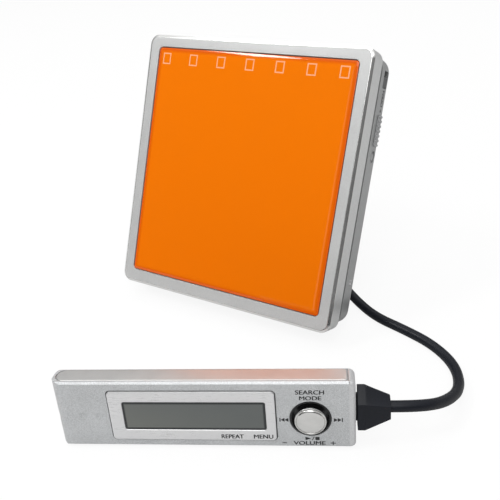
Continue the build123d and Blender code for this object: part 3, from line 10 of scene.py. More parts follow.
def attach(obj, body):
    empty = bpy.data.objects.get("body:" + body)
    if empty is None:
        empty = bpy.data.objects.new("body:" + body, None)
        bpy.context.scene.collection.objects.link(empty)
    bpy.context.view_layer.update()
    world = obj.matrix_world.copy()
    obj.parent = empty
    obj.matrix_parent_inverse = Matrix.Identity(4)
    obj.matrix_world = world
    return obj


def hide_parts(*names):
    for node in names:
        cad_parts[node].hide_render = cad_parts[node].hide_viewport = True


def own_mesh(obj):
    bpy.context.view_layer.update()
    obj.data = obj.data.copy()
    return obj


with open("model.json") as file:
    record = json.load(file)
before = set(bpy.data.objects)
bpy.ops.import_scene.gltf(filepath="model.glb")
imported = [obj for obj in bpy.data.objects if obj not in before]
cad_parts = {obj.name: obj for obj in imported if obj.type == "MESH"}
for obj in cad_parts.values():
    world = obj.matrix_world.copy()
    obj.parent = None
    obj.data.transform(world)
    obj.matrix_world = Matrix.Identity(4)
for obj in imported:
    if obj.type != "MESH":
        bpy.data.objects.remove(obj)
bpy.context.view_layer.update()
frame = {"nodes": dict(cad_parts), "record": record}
nodes = frame["nodes"]

# =============================================================================
# Camera.  A lens of 47 mm stands in front of the remote and to its right, and
# looks down on both units.
# =============================================================================
LENS_MM, SENSOR_MM, NEAREST = 46.70, 36.0, 0.01
CAMERA_AT = (0.08622951, -0.12403948, 0.12313446)
CAMERA_RIGHT = np.array((0.86700029, 0.49114127, -0.08420658))
CAMERA_UP = np.array((-0.19722953, 0.49340786, 0.84714178))

scene = bpy.context.scene
scene.view_settings.view_transform = "Standard"
lens = bpy.data.cameras.new("camera")
lens.lens, lens.sensor_width, lens.clip_start = LENS_MM, SENSOR_MM, NEAREST
camera = bpy.data.objects.new("camera", lens)
axes = Matrix((CAMERA_RIGHT, CAMERA_UP, np.cross(CAMERA_RIGHT, CAMERA_UP))).transposed()
camera.matrix_world = Matrix.LocRotScale(CAMERA_AT, axes.to_quaternion(), None)
scene.collection.objects.link(camera)
scene.camera = camera

# =============================================================================
# Lead.  A limp four-core cord 2.8 mm thick with a blue-black vinyl jacket.  It
# leaves the remote, rounds it on the table and goes behind the player, where the
# spare length is put away in a coil of two layers, and ends in the angled plug.
# =============================================================================
MM = 0.001
CORD_D, CORD_ROUND, CORD_STEPS = 2.8, 5, 10
RELIEF_END = (80.8, 9.6, 3.175)      # cord's way out of the strain relief, in the remote
TAIL_END = (-39.45, 12.0, -3.2)      # cord's way into the plug, in the player
FIRST_RUN = 7.0                      # straight part at either end
# points of the run on the table, the coil's middle, where its first turn begins, and how finely it is drawn
TABLE_RUN = ((62.9, -6.0, 5.6), (64.2, 3.0, 2.4), (60.6, 12.1, 1.4), (52.8, 18.1, 1.4), (43.3, 21.3, 1.4),
             (34.3, 23.6, 1.4), (26.8, 28.3, 1.4), (18.8, 35.1, 1.4), (8.7, 42.6, 1.4), (-2.6, 51.0, 1.4))
COIL_AT, COIL_IN, TURN_POINTS, COIL_POINTS = (-21.656, 43.135), 53.0, 16, 82
# turns wound so far, and the radius and height of the cord's middle there
COIL_TURNS = (0, 0.8, 1, 1.8, 2, 2.8, 2.9, 3, 3.12, 3.8, 4.12, 4.8, 5.2)
COIL_RADII = (17.8, 17.8, 15, 15, 12.2, 12.2, 10.9, 10.8, 10.8, 13.6, 13.6, 16.4, 16.4)
COIL_HEIGHTS = (1.4, 1.4, 1.4, 1.4, 1.4, 1.4, 3.0, 4.2, 4.2, 4.2, 4.2, 4.2, 4.2)
PLUG_RUN = ((-36.1, 57.9, 4.2), (-43.0, 57.0, 4.2), (-49.3, 51.9, 2.4), (-50.7, 43.1, 1.9))
CASE_H = 78.6                                # player's height
STICK_AT, GIMBAL_Z = (62.2, 8.4), 2.5        # control stick's axis, and its gimbal over the remote's back

joints = {joint["name"]: joint for joint in frame["record"]["behaviour"]["joints"]}


class Unit:
    """A housing's own millimetres, from its foot: along its right, up it and out of its face.

    Its foot is found from one spot that is known both in the frame and in the housing."""

    def __init__(self, right, up, spot, spot_mm):
        self.ways = np.array((right, up, np.cross(right, up)))
        self.foot = np.array(spot) - np.array(spot_mm) @ self.ways * MM

    def at(self, points):
        """Points of the unit in the frame, in metres."""
        return self.foot + np.asarray(points, dtype=float) @ self.ways * MM

    def here(self, place, side):
        """Distance of a material's place along one way of the unit, in its millimetres."""
        return place.along(self.ways[side], float(self.foot @ self.ways[side]) / MM)


back_face = next(mount for mount in frame["record"]["mounts"] if mount["name"] == "back_face")
player_up = np.array(joints["open_slide"]["axis"])
player = Unit(-np.array(joints["play_press"]["axis"]), player_up, back_face["pos_m"], (0, CASE_H / 2, 0))
stick = Unit(joints["stick_tilt_x"]["axis"], joints["menu_press"]["axis"], joints["stick_tilt_x"]["pos_m"],
             (*STICK_AT, GIMBAL_Z))


class Flow:
    """A value or colour on its way through a material.  Sums on flows and numbers add Math nodes."""

    def __init__(self, tree, socket=None):
        self.tree, self.socket = tree, socket

    def node(self, kind, settings, sockets, out=0):
        """Add a node: its settings first, then values or links of its sockets."""
        made = self.tree.nodes.new(kind)
        for name, value in settings.items():
            setattr(made, name, value)
        for key, value in sockets.items():
            if isinstance(value, Flow):
                self.tree.links.new(value.socket, made.inputs[key])
            else:
                made.inputs[key].default_value = value
        return Flow(self.tree, made.outputs[out]) if made.outputs else None

    def sum(self, operation, *values):
        """Math node of flows and numbers."""
        return self.node("ShaderNodeMath", {"operation": operation}, dict(enumerate(values)))

    def rise(self, low, high):
        """0 up to low, 1 from high on, with a smooth step between."""
        return self.node("ShaderNodeMapRange", {"interpolation_type": "SMOOTHSTEP"},
                         {"Value": self, "From Min": low, "From Max": high})

    def mix(self, first, second):
        """Colour: first where this mask is 0, second where it is 1."""
        first, second = (tone if isinstance(tone, Flow) else (*tone, 1.0) for tone in (first, second))
        return self.node("ShaderNodeMix", {"data_type": "RGBA"}, {0: self, 6: first, 7: second}, 2)

    def noise(self, size, detail=2.0):
        """Soft random value round 0.5 at this place; one blotch is size millimetres wide."""
        return self.node("ShaderNodeTexNoise", {}, {"Vector": self, "Scale": 1 / (size * MM),
                                                    "Detail": detail})

    def along(self, way, start=0.0):
        """Distance of this place along a direction, in millimetres from start."""
        reach = self.node("ShaderNodeVectorMath", {"operation": "DOT_PRODUCT"}, {0: self, 1: tuple(way)}, 1)
        return reach * (1 / MM) - start

    def bump(self, height, depth):
        """Normal of a surface raised by height times depth millimetres."""
        return self.node("ShaderNodeBump", {}, {"Height": height, "Distance": depth * MM})

    def __add__(self, other):
        return self.sum("ADD", self, other)

    def __sub__(self, other):
        return self.sum("SUBTRACT", self, other)

    def __rsub__(self, other):
        return self.sum("SUBTRACT", other, self)

    def __mul__(self, other):
        return self.sum("MULTIPLY", self, other)

    def __abs__(self):
        return self.sum("ABSOLUTE", self)

    __radd__, __rmul__ = __add__, __mul__


def start_finish(name):
    """Empty material, and the place on the piece as its first flow."""
    finish = bpy.data.materials.new(name)
    finish.use_nodes = True
    finish.node_tree.nodes.clear()
    flow = Flow(finish.node_tree)
    return finish, flow.node("ShaderNodeTexCoord", {}, {}, "Object")


def surface(place, sockets):
    """End a material in a Principled shader with these sockets."""
    shade = place.node("ShaderNodeBsdfPrincipled", {}, sockets)
    place.node("ShaderNodeOutputMaterial", {}, {"Surface": shade})


def moulded(name, colour, rough, grain=0.25, depth=0.01, spread=0.12, gloss=0.5):
    """Moulded plastic or rubber: spark-eroded grain of a set size and depth, with faint handling marks.

    Colour and roughness are their mean plus spread times a blotchy value."""
    finish, place = start_finish(name)
    fine, broad = place.noise(grain), place.noise(9.0, 4.0)
    darker, lighter = (tuple(part * (1 + side * spread) for part in colour) for side in (-1, 1))
    surface(place, {
        "Base Color": (fine * 0.4 + broad * 0.6).rise(0.3, 0.7).mix(darker, lighter),
        "Roughness": broad * spread + (rough - spread / 2),
        "Specular IOR Level": gloss,
        "Normal": place.bump(fine, depth)})
    return finish


lead_points = [stick.at(RELIEF_END), stick.at(RELIEF_END) + stick.ways[0] * FIRST_RUN * MM]
lead_points += [np.array(point) * MM for point in TABLE_RUN]
for count in range(COIL_POINTS):
    turns = (count + 0.5) / TURN_POINTS
    radius = np.interp(turns, COIL_TURNS, COIL_RADII) / cos(pi / TURN_POINTS)
    angle = radians(COIL_IN) + 2 * pi * turns
    lead_points.append(np.array((COIL_AT[0] + radius * np.cos(angle), COIL_AT[1] + radius * np.sin(angle),
                                 np.interp(turns, COIL_TURNS, COIL_HEIGHTS))) * MM)
lead_points += [np.array(point) * MM for point in PLUG_RUN]
lead_points += [player.at(TAIL_END) - player.ways[2] * FIRST_RUN * MM, player.at(TAIL_END)]

line = bpy.data.curves.new("lead", "CURVE")
line.dimensions, line.bevel_depth = "3D", CORD_D / 2 * MM
line.bevel_resolution, line.resolution_u = CORD_ROUND, CORD_STEPS
run = line.splines.new("NURBS")
run.points.add(len(lead_points) - 1)
run.points.foreach_set("co", np.column_stack((lead_points, np.ones(len(lead_points)))).ravel())
run.order_u, run.use_endpoint_u = 3, True
lead = bpy.data.objects.new("lead", line)
scene.collection.objects.link(lead)
cord_vinyl = moulded("cord_vinyl", (0.0060, 0.0075, 0.012), 0.42, 0.4, 0.012, 0.2, 0.25)
line.materials.append(cord_vinyl)
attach(lead, "housing")
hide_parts("cord_front", "cord_coil", "cord_rear")

# =============================================================================
# Table and light.  The units stand on white card under a big soft lamp overhead,
# one from the front right and a narrow one from the left.  Parts of the room are
# darker, so that the bright edges have something to reflect.
# =============================================================================
TABLE_SIZE, TABLE_WHITE, TABLE_GLOW, GLOW_LEVEL = 3.0, 0.64, 0.84, 1.06
ROOM_LIGHT, WALL_SHINE, CEILING_SHINE = 0.46, 0.34, 0.90
CEILING_FROM, CEILING_FULL = 0.25, 0.90
# dark parts of the room in reflections: their middle, the cosines where they begin and are full, what is left
DARK_PARTS = (((-0.46, -0.82, 0.33), 0.80, 0.93, 0.10), ((0.80, -0.58, 0.16), 0.86, 0.97, 0.40))
# bright gap between two walls: the way to it, the way across it, its shine, half its width and its reach
GAP_WAY, GAP_SIDE, GAP_SHINE = (-0.26, -0.966, 0.0), (0.966, -0.26, 0.0), 0.75
GAP_HALF, GAP_REACH = (0.012, 0.035), (0.55, 0.75)
# lamps: name, place, width, height, power
LAMPS = (("lamp_over", (-0.15, 0.15, 0.92), 0.80, 0.80, 2.9),
         ("lamp_front", (0.24, -0.55, 0.85), 0.70, 0.70, 3.8),
         ("lamp_left", (-0.44, -0.36, 0.72), 0.09, 0.26, 2.0))
LAMPS_AIM = (0.0, 0.0, 0.03)
WHITE = (1.0, 1.0, 1.0, 1.0)

table_mesh = bpy.data.meshes.new("table")
half = TABLE_SIZE / 2
table_corners = [(-half, -half, 0), (half, -half, 0), (half, half, 0), (-half, half, 0)]
table_mesh.from_pydata(table_corners, [], [(0, 1, 2, 3)])
table = bpy.data.objects.new("table", table_mesh)
scene.collection.objects.link(table)
card, place = start_finish("white_card")
seen = place.node("ShaderNodeLightPath", {}, {}, "Is Camera Ray")
fibre = place.noise(30.0, 3.0).mix((TABLE_WHITE - 0.01,) * 3, (TABLE_WHITE + 0.01,) * 3)
lit = place.node("ShaderNodeBsdfDiffuse", {}, {"Color": fibre})
glow = place.node("ShaderNodeEmission", {}, {"Color": WHITE, "Strength": GLOW_LEVEL})
both = place.node("ShaderNodeMixShader", {}, {0: seen * TABLE_GLOW, 1: lit, 2: glow})
place.node("ShaderNodeOutputMaterial", {}, {"Surface": both})
table_mesh.materials.append(card)

room = bpy.data.worlds.new("room")
room.use_nodes = True
room.node_tree.nodes.clear()
scene.world = room
sky = Flow(room.node_tree)
toward = sky.node("ShaderNodeTexCoord", {}, {}, "Generated")


def cosine(way):
    """Cosine between the ray and a direction."""
    return toward.node("ShaderNodeVectorMath", {"operation": "DOT_PRODUCT"}, {0: toward, 1: way}, 1)


shine = cosine((0.0, 0.0, 1.0)).rise(CEILING_FROM, CEILING_FULL) * (CEILING_SHINE - WALL_SHINE) + WALL_SHINE
for way, begins, full, left in DARK_PARTS:
    shine = shine * (1 - cosine(way).rise(begins, full) * (1 - left))
gap = (1 - abs(cosine(GAP_SIDE)).rise(*GAP_HALF)) * cosine(GAP_WAY).rise(*GAP_REACH)
shine = shine + gap * GAP_SHINE
glossy = sky.node("ShaderNodeLightPath", {}, {}, "Is Glossy Ray")
straight = sky.node("ShaderNodeLightPath", {}, {}, "Is Camera Ray")
wall = glossy * shine + (1 - glossy) * ROOM_LIGHT
back = sky.node("ShaderNodeBackground", {}, {"Color": WHITE, "Strength": wall * (1 - straight) + straight})
sky.node("ShaderNodeOutputWorld", {}, {"Surface": back})

for name, stands, wide, high, power in LAMPS:
    lamp = bpy.data.lights.new(name, "AREA")
    lamp.shape, lamp.size, lamp.size_y, lamp.energy = "RECTANGLE", wide, high, power
    holder = bpy.data.objects.new(name, lamp)
    away = (np.array(stands) - LAMPS_AIM) / np.linalg.norm(np.array(stands) - LAMPS_AIM)
    side = np.cross((0.0, 1.0, 0.0), away)
    side /= np.linalg.norm(side)
    turned = Matrix((side, np.cross(away, side), away)).transposed()
    holder.matrix_world = Matrix.LocRotScale(stands, turned.to_quaternion(), None)
    scene.collection.objects.link(holder)

# =============================================================================
# Rear shell and rim.  The back is a magnesium tray, and the rim that stands in
# the groove between it and the lid is cast too.  Every corner is slightly broken
# before the satin paint goes on.  The rim is set back in the groove, and its
# darker paint is painted shade for the shadow there.
# =============================================================================
SHARP, FLAT = radians(32), radians(0.5)      # bends over the first are edges, under the second no bend
SAME_SPOT = 0.002                            # corners nearer than this are one
CORNER, CORNER_STEPS = 0.12, 2               # width of a broken corner and the faces over it


def added(name, mesh, finish, body, stands_for=()):
    """Put a finished mesh into the scene on its body."""
    piece = bpy.data.objects.new(name, mesh)
    scene.collection.objects.link(piece)
    mesh.materials.append(finish)
    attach(piece, body)
    if stands_for:
        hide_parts(*stands_for)
    return piece


def tidied(mesh, corner=0.0):
    """Merge a mesh's doubles, clear flat seams, shade it smooth up to its sharp edges."""
    work = bmesh.new()
    work.from_mesh(mesh)
    bmesh.ops.remove_doubles(work, verts=work.verts, dist=SAME_SPOT * MM)
    if corner:
        bmesh.ops.dissolve_limit(work, angle_limit=FLAT, verts=work.verts, edges=work.edges)
    work.to_mesh(mesh)
    work.free()
    mesh.shade_smooth()
    mesh.set_sharp_from_angle(angle=SHARP)
    return mesh


def softened(name, node, finish, body, corner=CORNER):
    """A part as it comes from the tool: the shape of its solid with broken corners and smooth bends."""
    mesh = nodes[node].data.copy()
    mesh.materials.clear()
    piece = added(name, tidied(mesh, corner), finish, body, (node,))
    if corner:
        bevel = piece.modifiers.new("corners", "BEVEL")
        bevel.width, bevel.segments = corner * MM, CORNER_STEPS
        bevel.limit_method, bevel.angle_limit = "ANGLE", SHARP
        bevel.use_clamp_overlap = True
    piece.modifiers.new("shading", "WEIGHTED_NORMAL").keep_sharp = True
    return piece


def painted(name, colour, fleck, rough, metal=0.35):
    """Metallic paint: flakes a sixth of a millimetre wide over slow mottling, under a fine orange peel.

    The base is the colour times 1 plus fleck times a grain value."""
    finish, place = start_finish(name)
    flakes, cloud, peel = place.noise(0.16, 1.0), place.noise(6.0, 3.0), place.noise(0.5)
    dull, bright = (tuple(part * (1 + side * fleck) for part in colour) for side in (-1, 1))
    mottled = (flakes * 0.85 + cloud * 0.15).rise(0.32, 0.68).mix(dull, bright)
    surface(place, {"Base Color": mottled, "Metallic": metal,
                    "Roughness": cloud * 0.10 + flakes * 0.08 + (rough - 0.09),
                    "Normal": place.bump(peel * 0.6 + flakes * 0.4, 0.006)})
    return finish


case_paint = painted("case_paint", (0.66, 0.665, 0.66), 0.08, 0.36)
shell_paint = painted("shell_paint", (0.38, 0.385, 0.385), 0.08, 0.40)
# painted shade: the rim's paint is darker than the case's, for the shadow in the groove between lid and back
groove_paint = painted("groove_paint", (0.24, 0.243, 0.25), 0.12, 0.42)
softened("back_shell", "rear_shell", shell_paint, "housing")
softened("rim", "mid_frame", groove_paint, "housing", 0.08)

# =============================================================================
# Main board.  Green glass-fibre laminate with copper tracks under the solder
# mask, its chips, the jack blocks on the left edge and the battery's contacts.
# =============================================================================
TRACK_PITCH, PLAIN_SHARE, HOLE_PITCH = 0.9, 0.44, 2.4
board_mask, place = start_finish("solder_mask")
across, upward = place.along(player.ways[0]), place.along(player.ways[1])
routed = place.noise(7.0, 1.0)
way_one, way_two = (abs(place.sum("FRACT", way * (1 / TRACK_PITCH)) - 0.5) for way in (across, upward))
chosen = routed.rise(0.49, 0.51)
tracks = (way_one * chosen + way_two * (1 - chosen)).rise(0.24, 0.27)
copper = tracks * place.noise(4.0, 0.0).rise(PLAIN_SHARE, PLAIN_SHARE + 0.01)
vias = place.node("ShaderNodeTexVoronoi", {}, {"Vector": place, "Scale": 1 / (HOLE_PITCH * MM)})
holes = vias.rise(0.15, 0.17)
masked = copper.mix((0.012, 0.085, 0.035), (0.035, 0.20, 0.075))
surface(place, {"Base Color": holes.mix((0.62, 0.45, 0.17), masked), "Metallic": 1 - holes, "Roughness": 0.34,
                "Normal": place.bump(copper, 0.03)})
black_plastic = moulded("black_plastic", (0.022, 0.022, 0.024), 0.48)
softened("board", "main_board", board_mask, "housing", 0.0)
softened("remote_circuit", "remote_board", board_mask, "housing", 0.0)
for node in ("board_chips", "remote_socket", "dc_socket", "key_switches", "earphone_socket"):
    softened(node + "_moulded", node, black_plastic, "housing", 0.06)
softened("contact_carrier", "contact_board", black_plastic, "housing", 0.06)


def worked(name, colour, rough, unit, way, stretch=14.0, grain=0.12, depth=0.004, stain=0.08, metal=1.0):
    """Bare metal drawn or brushed along one way of a unit (0 right, 1 up, 2 out), with slight staining.

    Streaks are a fine noise of the place in the unit, with the way of working divided by stretch."""
    finish, place = start_finish(name)
    spot = {side: place.along(unit.ways[side]) * (MM / (stretch if side == way else 1.0))
            for side in range(3)}
    drawn = place.node("ShaderNodeCombineXYZ", {}, spot)
    streak, cloud = drawn.noise(grain, 3.0), place.noise(5.0, 3.0)
    dull, bright = (tuple(part * (1 + side * stain) for part in colour) for side in (-1.6, 0.7))
    surface(place, {"Base Color": (streak * 0.5 + cloud * 0.5).rise(0.3, 0.7).mix(dull, bright),
                    "Metallic": metal, "Roughness": streak * 0.16 + cloud * 0.08 + (rough - 0.12),
                    "Normal": place.bump(streak, depth)})
    return finish


brass = worked("spring_brass", (0.78, 0.57, 0.25), 0.28, player, 1)
softened("contacts", "battery_contacts", brass, "housing", 0.06)
softened("play_leaf", "play_contact", brass, "housing", 0.06)

# =============================================================================
# Drive.  A stamped zinc-plated deck on rubber dampers carries the spindle motor
# and its turntable, and the sled with the lens, which a fine screw moves.  The
# lid's hinge pins and the case's screw are of the same ground steel.
# =============================================================================
sheet_steel = worked("zinc_plate", (0.62, 0.62, 0.60), 0.34, player, 0, 6.0, 0.25)
pin_steel = worked("ground_steel", (0.66, 0.66, 0.67), 0.20, player, 1, 8.0)
motor_can = worked("motor_can", (0.58, 0.59, 0.60), 0.30, player, 2, 10.0, 0.2)
damper_rubber = moulded("damper_rubber", (0.030, 0.024, 0.022), 0.72, 0.5, 0.02)
softened("deck", "deck_plate", sheet_steel, "housing", 0.0)
softened("dampers", "deck_dampers", damper_rubber, "housing", 0.08)
softened("deck_screw_heads", "deck_screws", pin_steel, "housing", 0.06)
softened("rods", "guide_rods", pin_steel, "housing", 0.06)
softened("disc_motor", "spindle_motor", motor_can, "housing", 0.08)
softened("sled_motor", "feed_motor", motor_can, "housing", 0.08)
softened("disc_table", "turntable", pin_steel, "spindle", 0.08)
softened("sled", "pickup_sled", black_plastic, "pickup", 0.10)
softened("hinge_pin_pair", "hinge_pins", pin_steel, "housing", 0.05)
softened("case_screw", "side_screw", pin_steel, "housing", 0.05)

POINTS_MEET = 0.001                          # grid points nearer than this are one
LENS_AT, LENS_SIDES = (0.0, 24.3), 48
LENS_PROFILE = ((0.0, 6.4), (2.2, 6.4), (2.2, 7.3), (2.1, 7.5), (1.75, 7.6), (1.65, 7.62), (1.5, 7.85),
                (1.2, 8.15), (0.8, 8.36), (0.4, 8.46), (0.0, 8.5))
SCREW_AT, SCREW_Z, SCREW_CORE, SCREW_CREST, SCREW_TIP = -13.0, 4.6, 0.85, 1.1, 0.55
SCREW_LOW, SCREW_HIGH, SCREW_START, SCREW_END = 3.25, 35.3, 5.0, 30.8
THREAD_PITCH, THREAD_STEEP, THREAD_CUT, SCREW_STEPS, SCREW_SIDES = 0.8, 1.6, 0.3, 330, 20


def skin(name, grid, finish, body, stands_for=(), polish=None, polished_rows=()):
    """Surface over a grid of points in metres: each row is a ring, like points merged, faces outward.

    A second finish, where given, goes on the faces between each of its rows and the next."""
    grid = np.concatenate((grid, grid[:, :1]), axis=1)
    rows, columns = grid.shape[:2]
    index = np.arange(rows * columns).reshape(rows, columns)
    quads = np.stack((index[:-1, :-1], index[:-1, 1:], index[1:, 1:], index[1:, :-1]), axis=-1)
    mesh = bpy.data.meshes.new(name)
    mesh.from_pydata(grid.reshape(-1, 3).tolist(), [], quads.reshape(-1, 4).tolist())
    in_polish = np.isin(np.arange(rows - 1), polished_rows).astype(np.int32)
    mesh.polygons.foreach_set("material_index", np.repeat(in_polish, columns - 1))
    work = bmesh.new()
    work.from_mesh(mesh)
    bmesh.ops.remove_doubles(work, verts=work.verts, dist=POINTS_MEET * MM)
    bmesh.ops.recalc_face_normals(work, faces=work.faces)
    work.to_mesh(mesh)
    work.free()
    mesh.shade_smooth()
    mesh.set_sharp_from_angle(angle=SHARP)
    piece = added(name, mesh, finish, body, stands_for)
    if polish:
        mesh.materials.append(polish)
    piece.modifiers.new("shading", "WEIGHTED_NORMAL").keep_sharp = True
    return piece


def turned_grid(unit, centre, profile, steps=64):
    """Lathe: each (radius, height) of the profile goes round the centre: radius cos, radius sin, height."""
    radii, heights = np.array(profile, dtype=float).T[:, :, None]
    turn = np.linspace(0, 2 * pi, steps, endpoint=False)
    return unit.at(np.stack((centre[0] + radii * np.cos(turn), centre[1] + radii * np.sin(turn),
                             np.repeat(heights, steps, axis=1)), axis=-1))


lens_glass, place = start_finish("lens_glass")
surface(place, {"Base Color": place.noise(1.5).mix((0.02, 0.03, 0.09), (0.06, 0.05, 0.16)), "Roughness": 0.04,
                "Coat Weight": 1.0})
skin("lens", turned_grid(player, LENS_AT, LENS_PROFILE, LENS_SIDES), lens_glass, "pickup",
     ("pickup_lens",))

# feed screw: the radius rises from core to crest and back once in a pitch, and the crest goes round once
along_screw = np.concatenate(([SCREW_LOW, SCREW_LOW, SCREW_START, SCREW_START],
                              np.linspace(SCREW_START, SCREW_END, SCREW_STEPS),
                              [SCREW_END, SCREW_HIGH, SCREW_HIGH]))
round_screw = np.linspace(0, 2 * pi, SCREW_SIDES, endpoint=False)
thread = abs(((along_screw[:, None] / THREAD_PITCH - round_screw / (2 * pi)) % 1) - 0.5) * 2
radii = SCREW_CORE + (SCREW_CREST - SCREW_CORE) * np.clip(thread * THREAD_STEEP - THREAD_CUT, 0, 1)
radii[:3] = radii[-2:] = SCREW_TIP
radii[0] = radii[-1] = 0
skin("feed_thread", player.at(np.stack((
    SCREW_AT + radii * np.cos(round_screw), np.repeat(along_screw[:, None], SCREW_SIDES, axis=1),
    SCREW_Z + radii * np.sin(round_screw)), axis=-1)), pin_steel, "feed", ("feed_screw",))

# =============================================================================
# Battery.  A flat rechargeable cell in a printed shrink sleeve slides in from the
# left behind a small painted door that swings open on its pin.
# =============================================================================
PRINT_EDGE = (18.0, 18.2)      # where the print on the sleeve changes colour, along the player's right
cell_sleeve, place = start_finish("cell_sleeve")
sleeve = place.along(player.ways[0]).rise(*PRINT_EDGE).mix((0.10, 0.13, 0.17), (0.33, 0.35, 0.37))
surface(place, {"Base Color": place.noise(3.0, 4.0).rise(0.55, 0.75).mix(sleeve, (0.20, 0.22, 0.26)),
                "Roughness": place.noise(2.0) * 0.2 + 0.25, "Normal": place.bump(place.noise(1.0), 0.02)})
softened("cell", "battery_cell", cell_sleeve, "housing", 0.10)
softened("cell_door", "battery_door", case_paint, "door", 0.10)
softened("door_pin_rod", "door_pin", pin_steel, "housing", 0.05)

# =============================================================================
# Right-hand controls.  The ribbed slider that opens the lid, with the latch bar
# and return spring behind it, the lock slider and the round play button.
# =============================================================================
control_grey = moulded("control_grey", (0.36, 0.365, 0.37), 0.40, 0.2, 0.008, 0.10)
dark_control = moulded("dark_control", (0.085, 0.087, 0.09), 0.45, 0.2, 0.008, 0.15)
softened("open_knob", "open_slider", control_grey, "latch", 0.10)
softened("latch", "latch_bar", sheet_steel, "latch", 0.06)
softened("hold_knob", "hold_switch", dark_control, "hold", 0.10)
softened("play_knob", "play_button", control_grey, "play", 0.10)

SPRING_AT, SPRING_Z, SPRING_LOW, SPRING_HIGH = 34.4, 3.0, 65.4, 69.2
SPRING_R, WIRE_R, SPRING_TURNS = 0.67, 0.12, 7


def coiled(unit, start, end, radius, wire, turns, steps=22, sides=8):
    """Coil spring: wire whose centre goes round the line from start to end as it advances evenly.

    Each ring of points lies in the plane of the line and the way out from it, and the ends draw in to
    a point.  The line doesn't run straight out of the unit's face."""
    start, end = np.array(start, dtype=float), np.array(end, dtype=float)
    line_way = (end - start) / np.linalg.norm(end - start)
    first = np.cross(line_way, (0.0, 0.0, 1.0))
    second = np.cross(line_way, first)
    share = np.linspace(0, 1, turns * steps + 1)
    turn = 2 * pi * turns * share[:, None]
    outward = np.cos(turn) * first + np.sin(turn) * second
    middle = start + (end - start) * share[:, None] + outward * radius
    round_wire = np.linspace(0, 2 * pi, sides, endpoint=False)[None, :, None]
    rings = middle[:, None] + wire * (np.cos(round_wire) * outward[:, None] + np.sin(round_wire) * line_way)
    caps = np.repeat(middle[[0, -1], None], sides, axis=1)
    return unit.at(np.concatenate((caps[:1], rings, caps[1:])))


spring_ends = ((SPRING_AT, SPRING_LOW, SPRING_Z), (SPRING_AT, SPRING_HIGH, SPRING_Z))
latch_return = skin("latch_return", coiled(player, *spring_ends, SPRING_R, WIRE_R, SPRING_TURNS), pin_steel,
                    "housing", ("latch_spring",))
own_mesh(latch_return)

# =============================================================================
# Disc holder.  A sleeve folded from thin sheet, which lifts with the lid.
# =============================================================================
softened("disc_sleeve", "disc_holder", sheet_steel, "holder", 0.0)

# =============================================================================
# Lid.  A cast frame with a polished slope round its front edge, a skirt behind
# it, and a panel of clear resin lacquered orange from behind and let in flush.
# =============================================================================
CASE_W, CASE_T, LID_R = 73.6, 16.0, 3.0
SLOPE_WIDE, SLOPE_DEEP, SLOPE_ROUND, FRAME_FOOT_Z = 0.8, 0.6, 0.10, 15.0
SLOPE_ROWS = (1, 2, 3)                       # rows of the frame's surface that are polished
PANEL_W, PANEL_H, PANEL_Y, PANEL_R, PANEL_GAP = 66.0, 70.75, 39.625, 1.4, 0.15
PANEL_ROUND, PANEL_DROP, PANEL_STEPS, PANEL_SIDE = 3.0, 0.34, 15, 0.05
CLOSING_SHARES = (0.8, 0.5, 0.2, 0.0)        # rings of the flat middle, as shares of the last one's size
PAINTED_LIGHT_REACH = 80.0                         # height over which the panel is painted lighter towards the top: painted light
CELL_FIRST, CELL_PITCH, CELL_Y, CELL_W, CELL_H, CELL_LINE, CELL_COUNT = -29.6, 9.8, 71.5, 2.5, 3.0, 0.34, 7
ROW_SOFT = 0.098                             # fade at either end of the row of cells


def outline(centre, width, height, radius, corner=10, side=6):
    """Rounded rectangle as points and the outward way at each: four arcs and evenly divided sides."""
    turn = np.linspace(0, pi / 2, corner + 1)
    angle = (np.arange(4)[:, None] * pi / 2 + turn).ravel()
    facing = np.stack((np.cos(angle), np.sin(angle)), axis=-1)
    quarter = np.repeat(np.array(((1, 1), (-1, 1), (-1, -1), (1, -1))), corner + 1, axis=0)
    points = quarter * (np.array((width, height)) / 2 - radius) + radius * facing + np.array(centre)
    share = np.linspace(0, 1, side + 1)[1:-1, None]
    runs, ways = [], []
    for low in range(0, len(points), corner + 1):
        high = low + corner
        following = points[(high + 1) % len(points)]
        runs += [points[low:high + 1], points[high] * (1 - share) + following * share]
        ways += [facing[low:high + 1], np.repeat(facing[high][None], side - 1, axis=0)]
    return np.concatenate(runs), np.concatenate(ways)


def raised(unit, flat, heights):
    """Rows of flat points in a unit, each row lifted to its height."""
    lift = np.broadcast_to(np.array(heights, dtype=float)[:, None, None], (*flat.shape[:2], 1))
    return unit.at(np.concatenate((flat, lift), axis=-1))


def ringed(unit, edge, steps):
    """Rows of a surface that follow an outline: each step is (inset from it, height)."""
    points, facing = edge
    inset, heights = np.array(steps, dtype=float).T
    return raised(unit, points - inset[:, None, None] * facing, heights)


def drawn_in(unit, spot, rows):
    """Row that closes a surface in one point: the spot, once for each column of its rows."""
    return unit.at(spot) + np.zeros_like(rows[:1])


outer = outline((0, CASE_H / 2), CASE_W, CASE_H, LID_R)
inner = outline((0, PANEL_Y), PANEL_W, PANEL_H, PANEL_R)
slope_foot = CASE_T - SLOPE_DEEP
outer_steps = ((0.0, FRAME_FOOT_Z), (0.0, slope_foot - SLOPE_ROUND),
               (SLOPE_ROUND * 0.35, slope_foot + SLOPE_ROUND * 0.5),
               (SLOPE_WIDE - SLOPE_ROUND, CASE_T - SLOPE_ROUND * 0.55), (SLOPE_WIDE + SLOPE_ROUND, CASE_T))
inner_steps = ((-SLOPE_ROUND, CASE_T), (-SLOPE_ROUND * 0.3, CASE_T - SLOPE_ROUND * 0.3),
               (0.0, CASE_T - SLOPE_ROUND), (0.0, FRAME_FOOT_Z))
frame_grid = np.concatenate((ringed(player, outer, outer_steps), ringed(player, inner, inner_steps),
                             ringed(player, outer, outer_steps[:1])))
slope_metal = worked("slope_metal", (0.80, 0.80, 0.79), 0.20, player, 1, 20.0, 0.10, 0.001, 0.04)
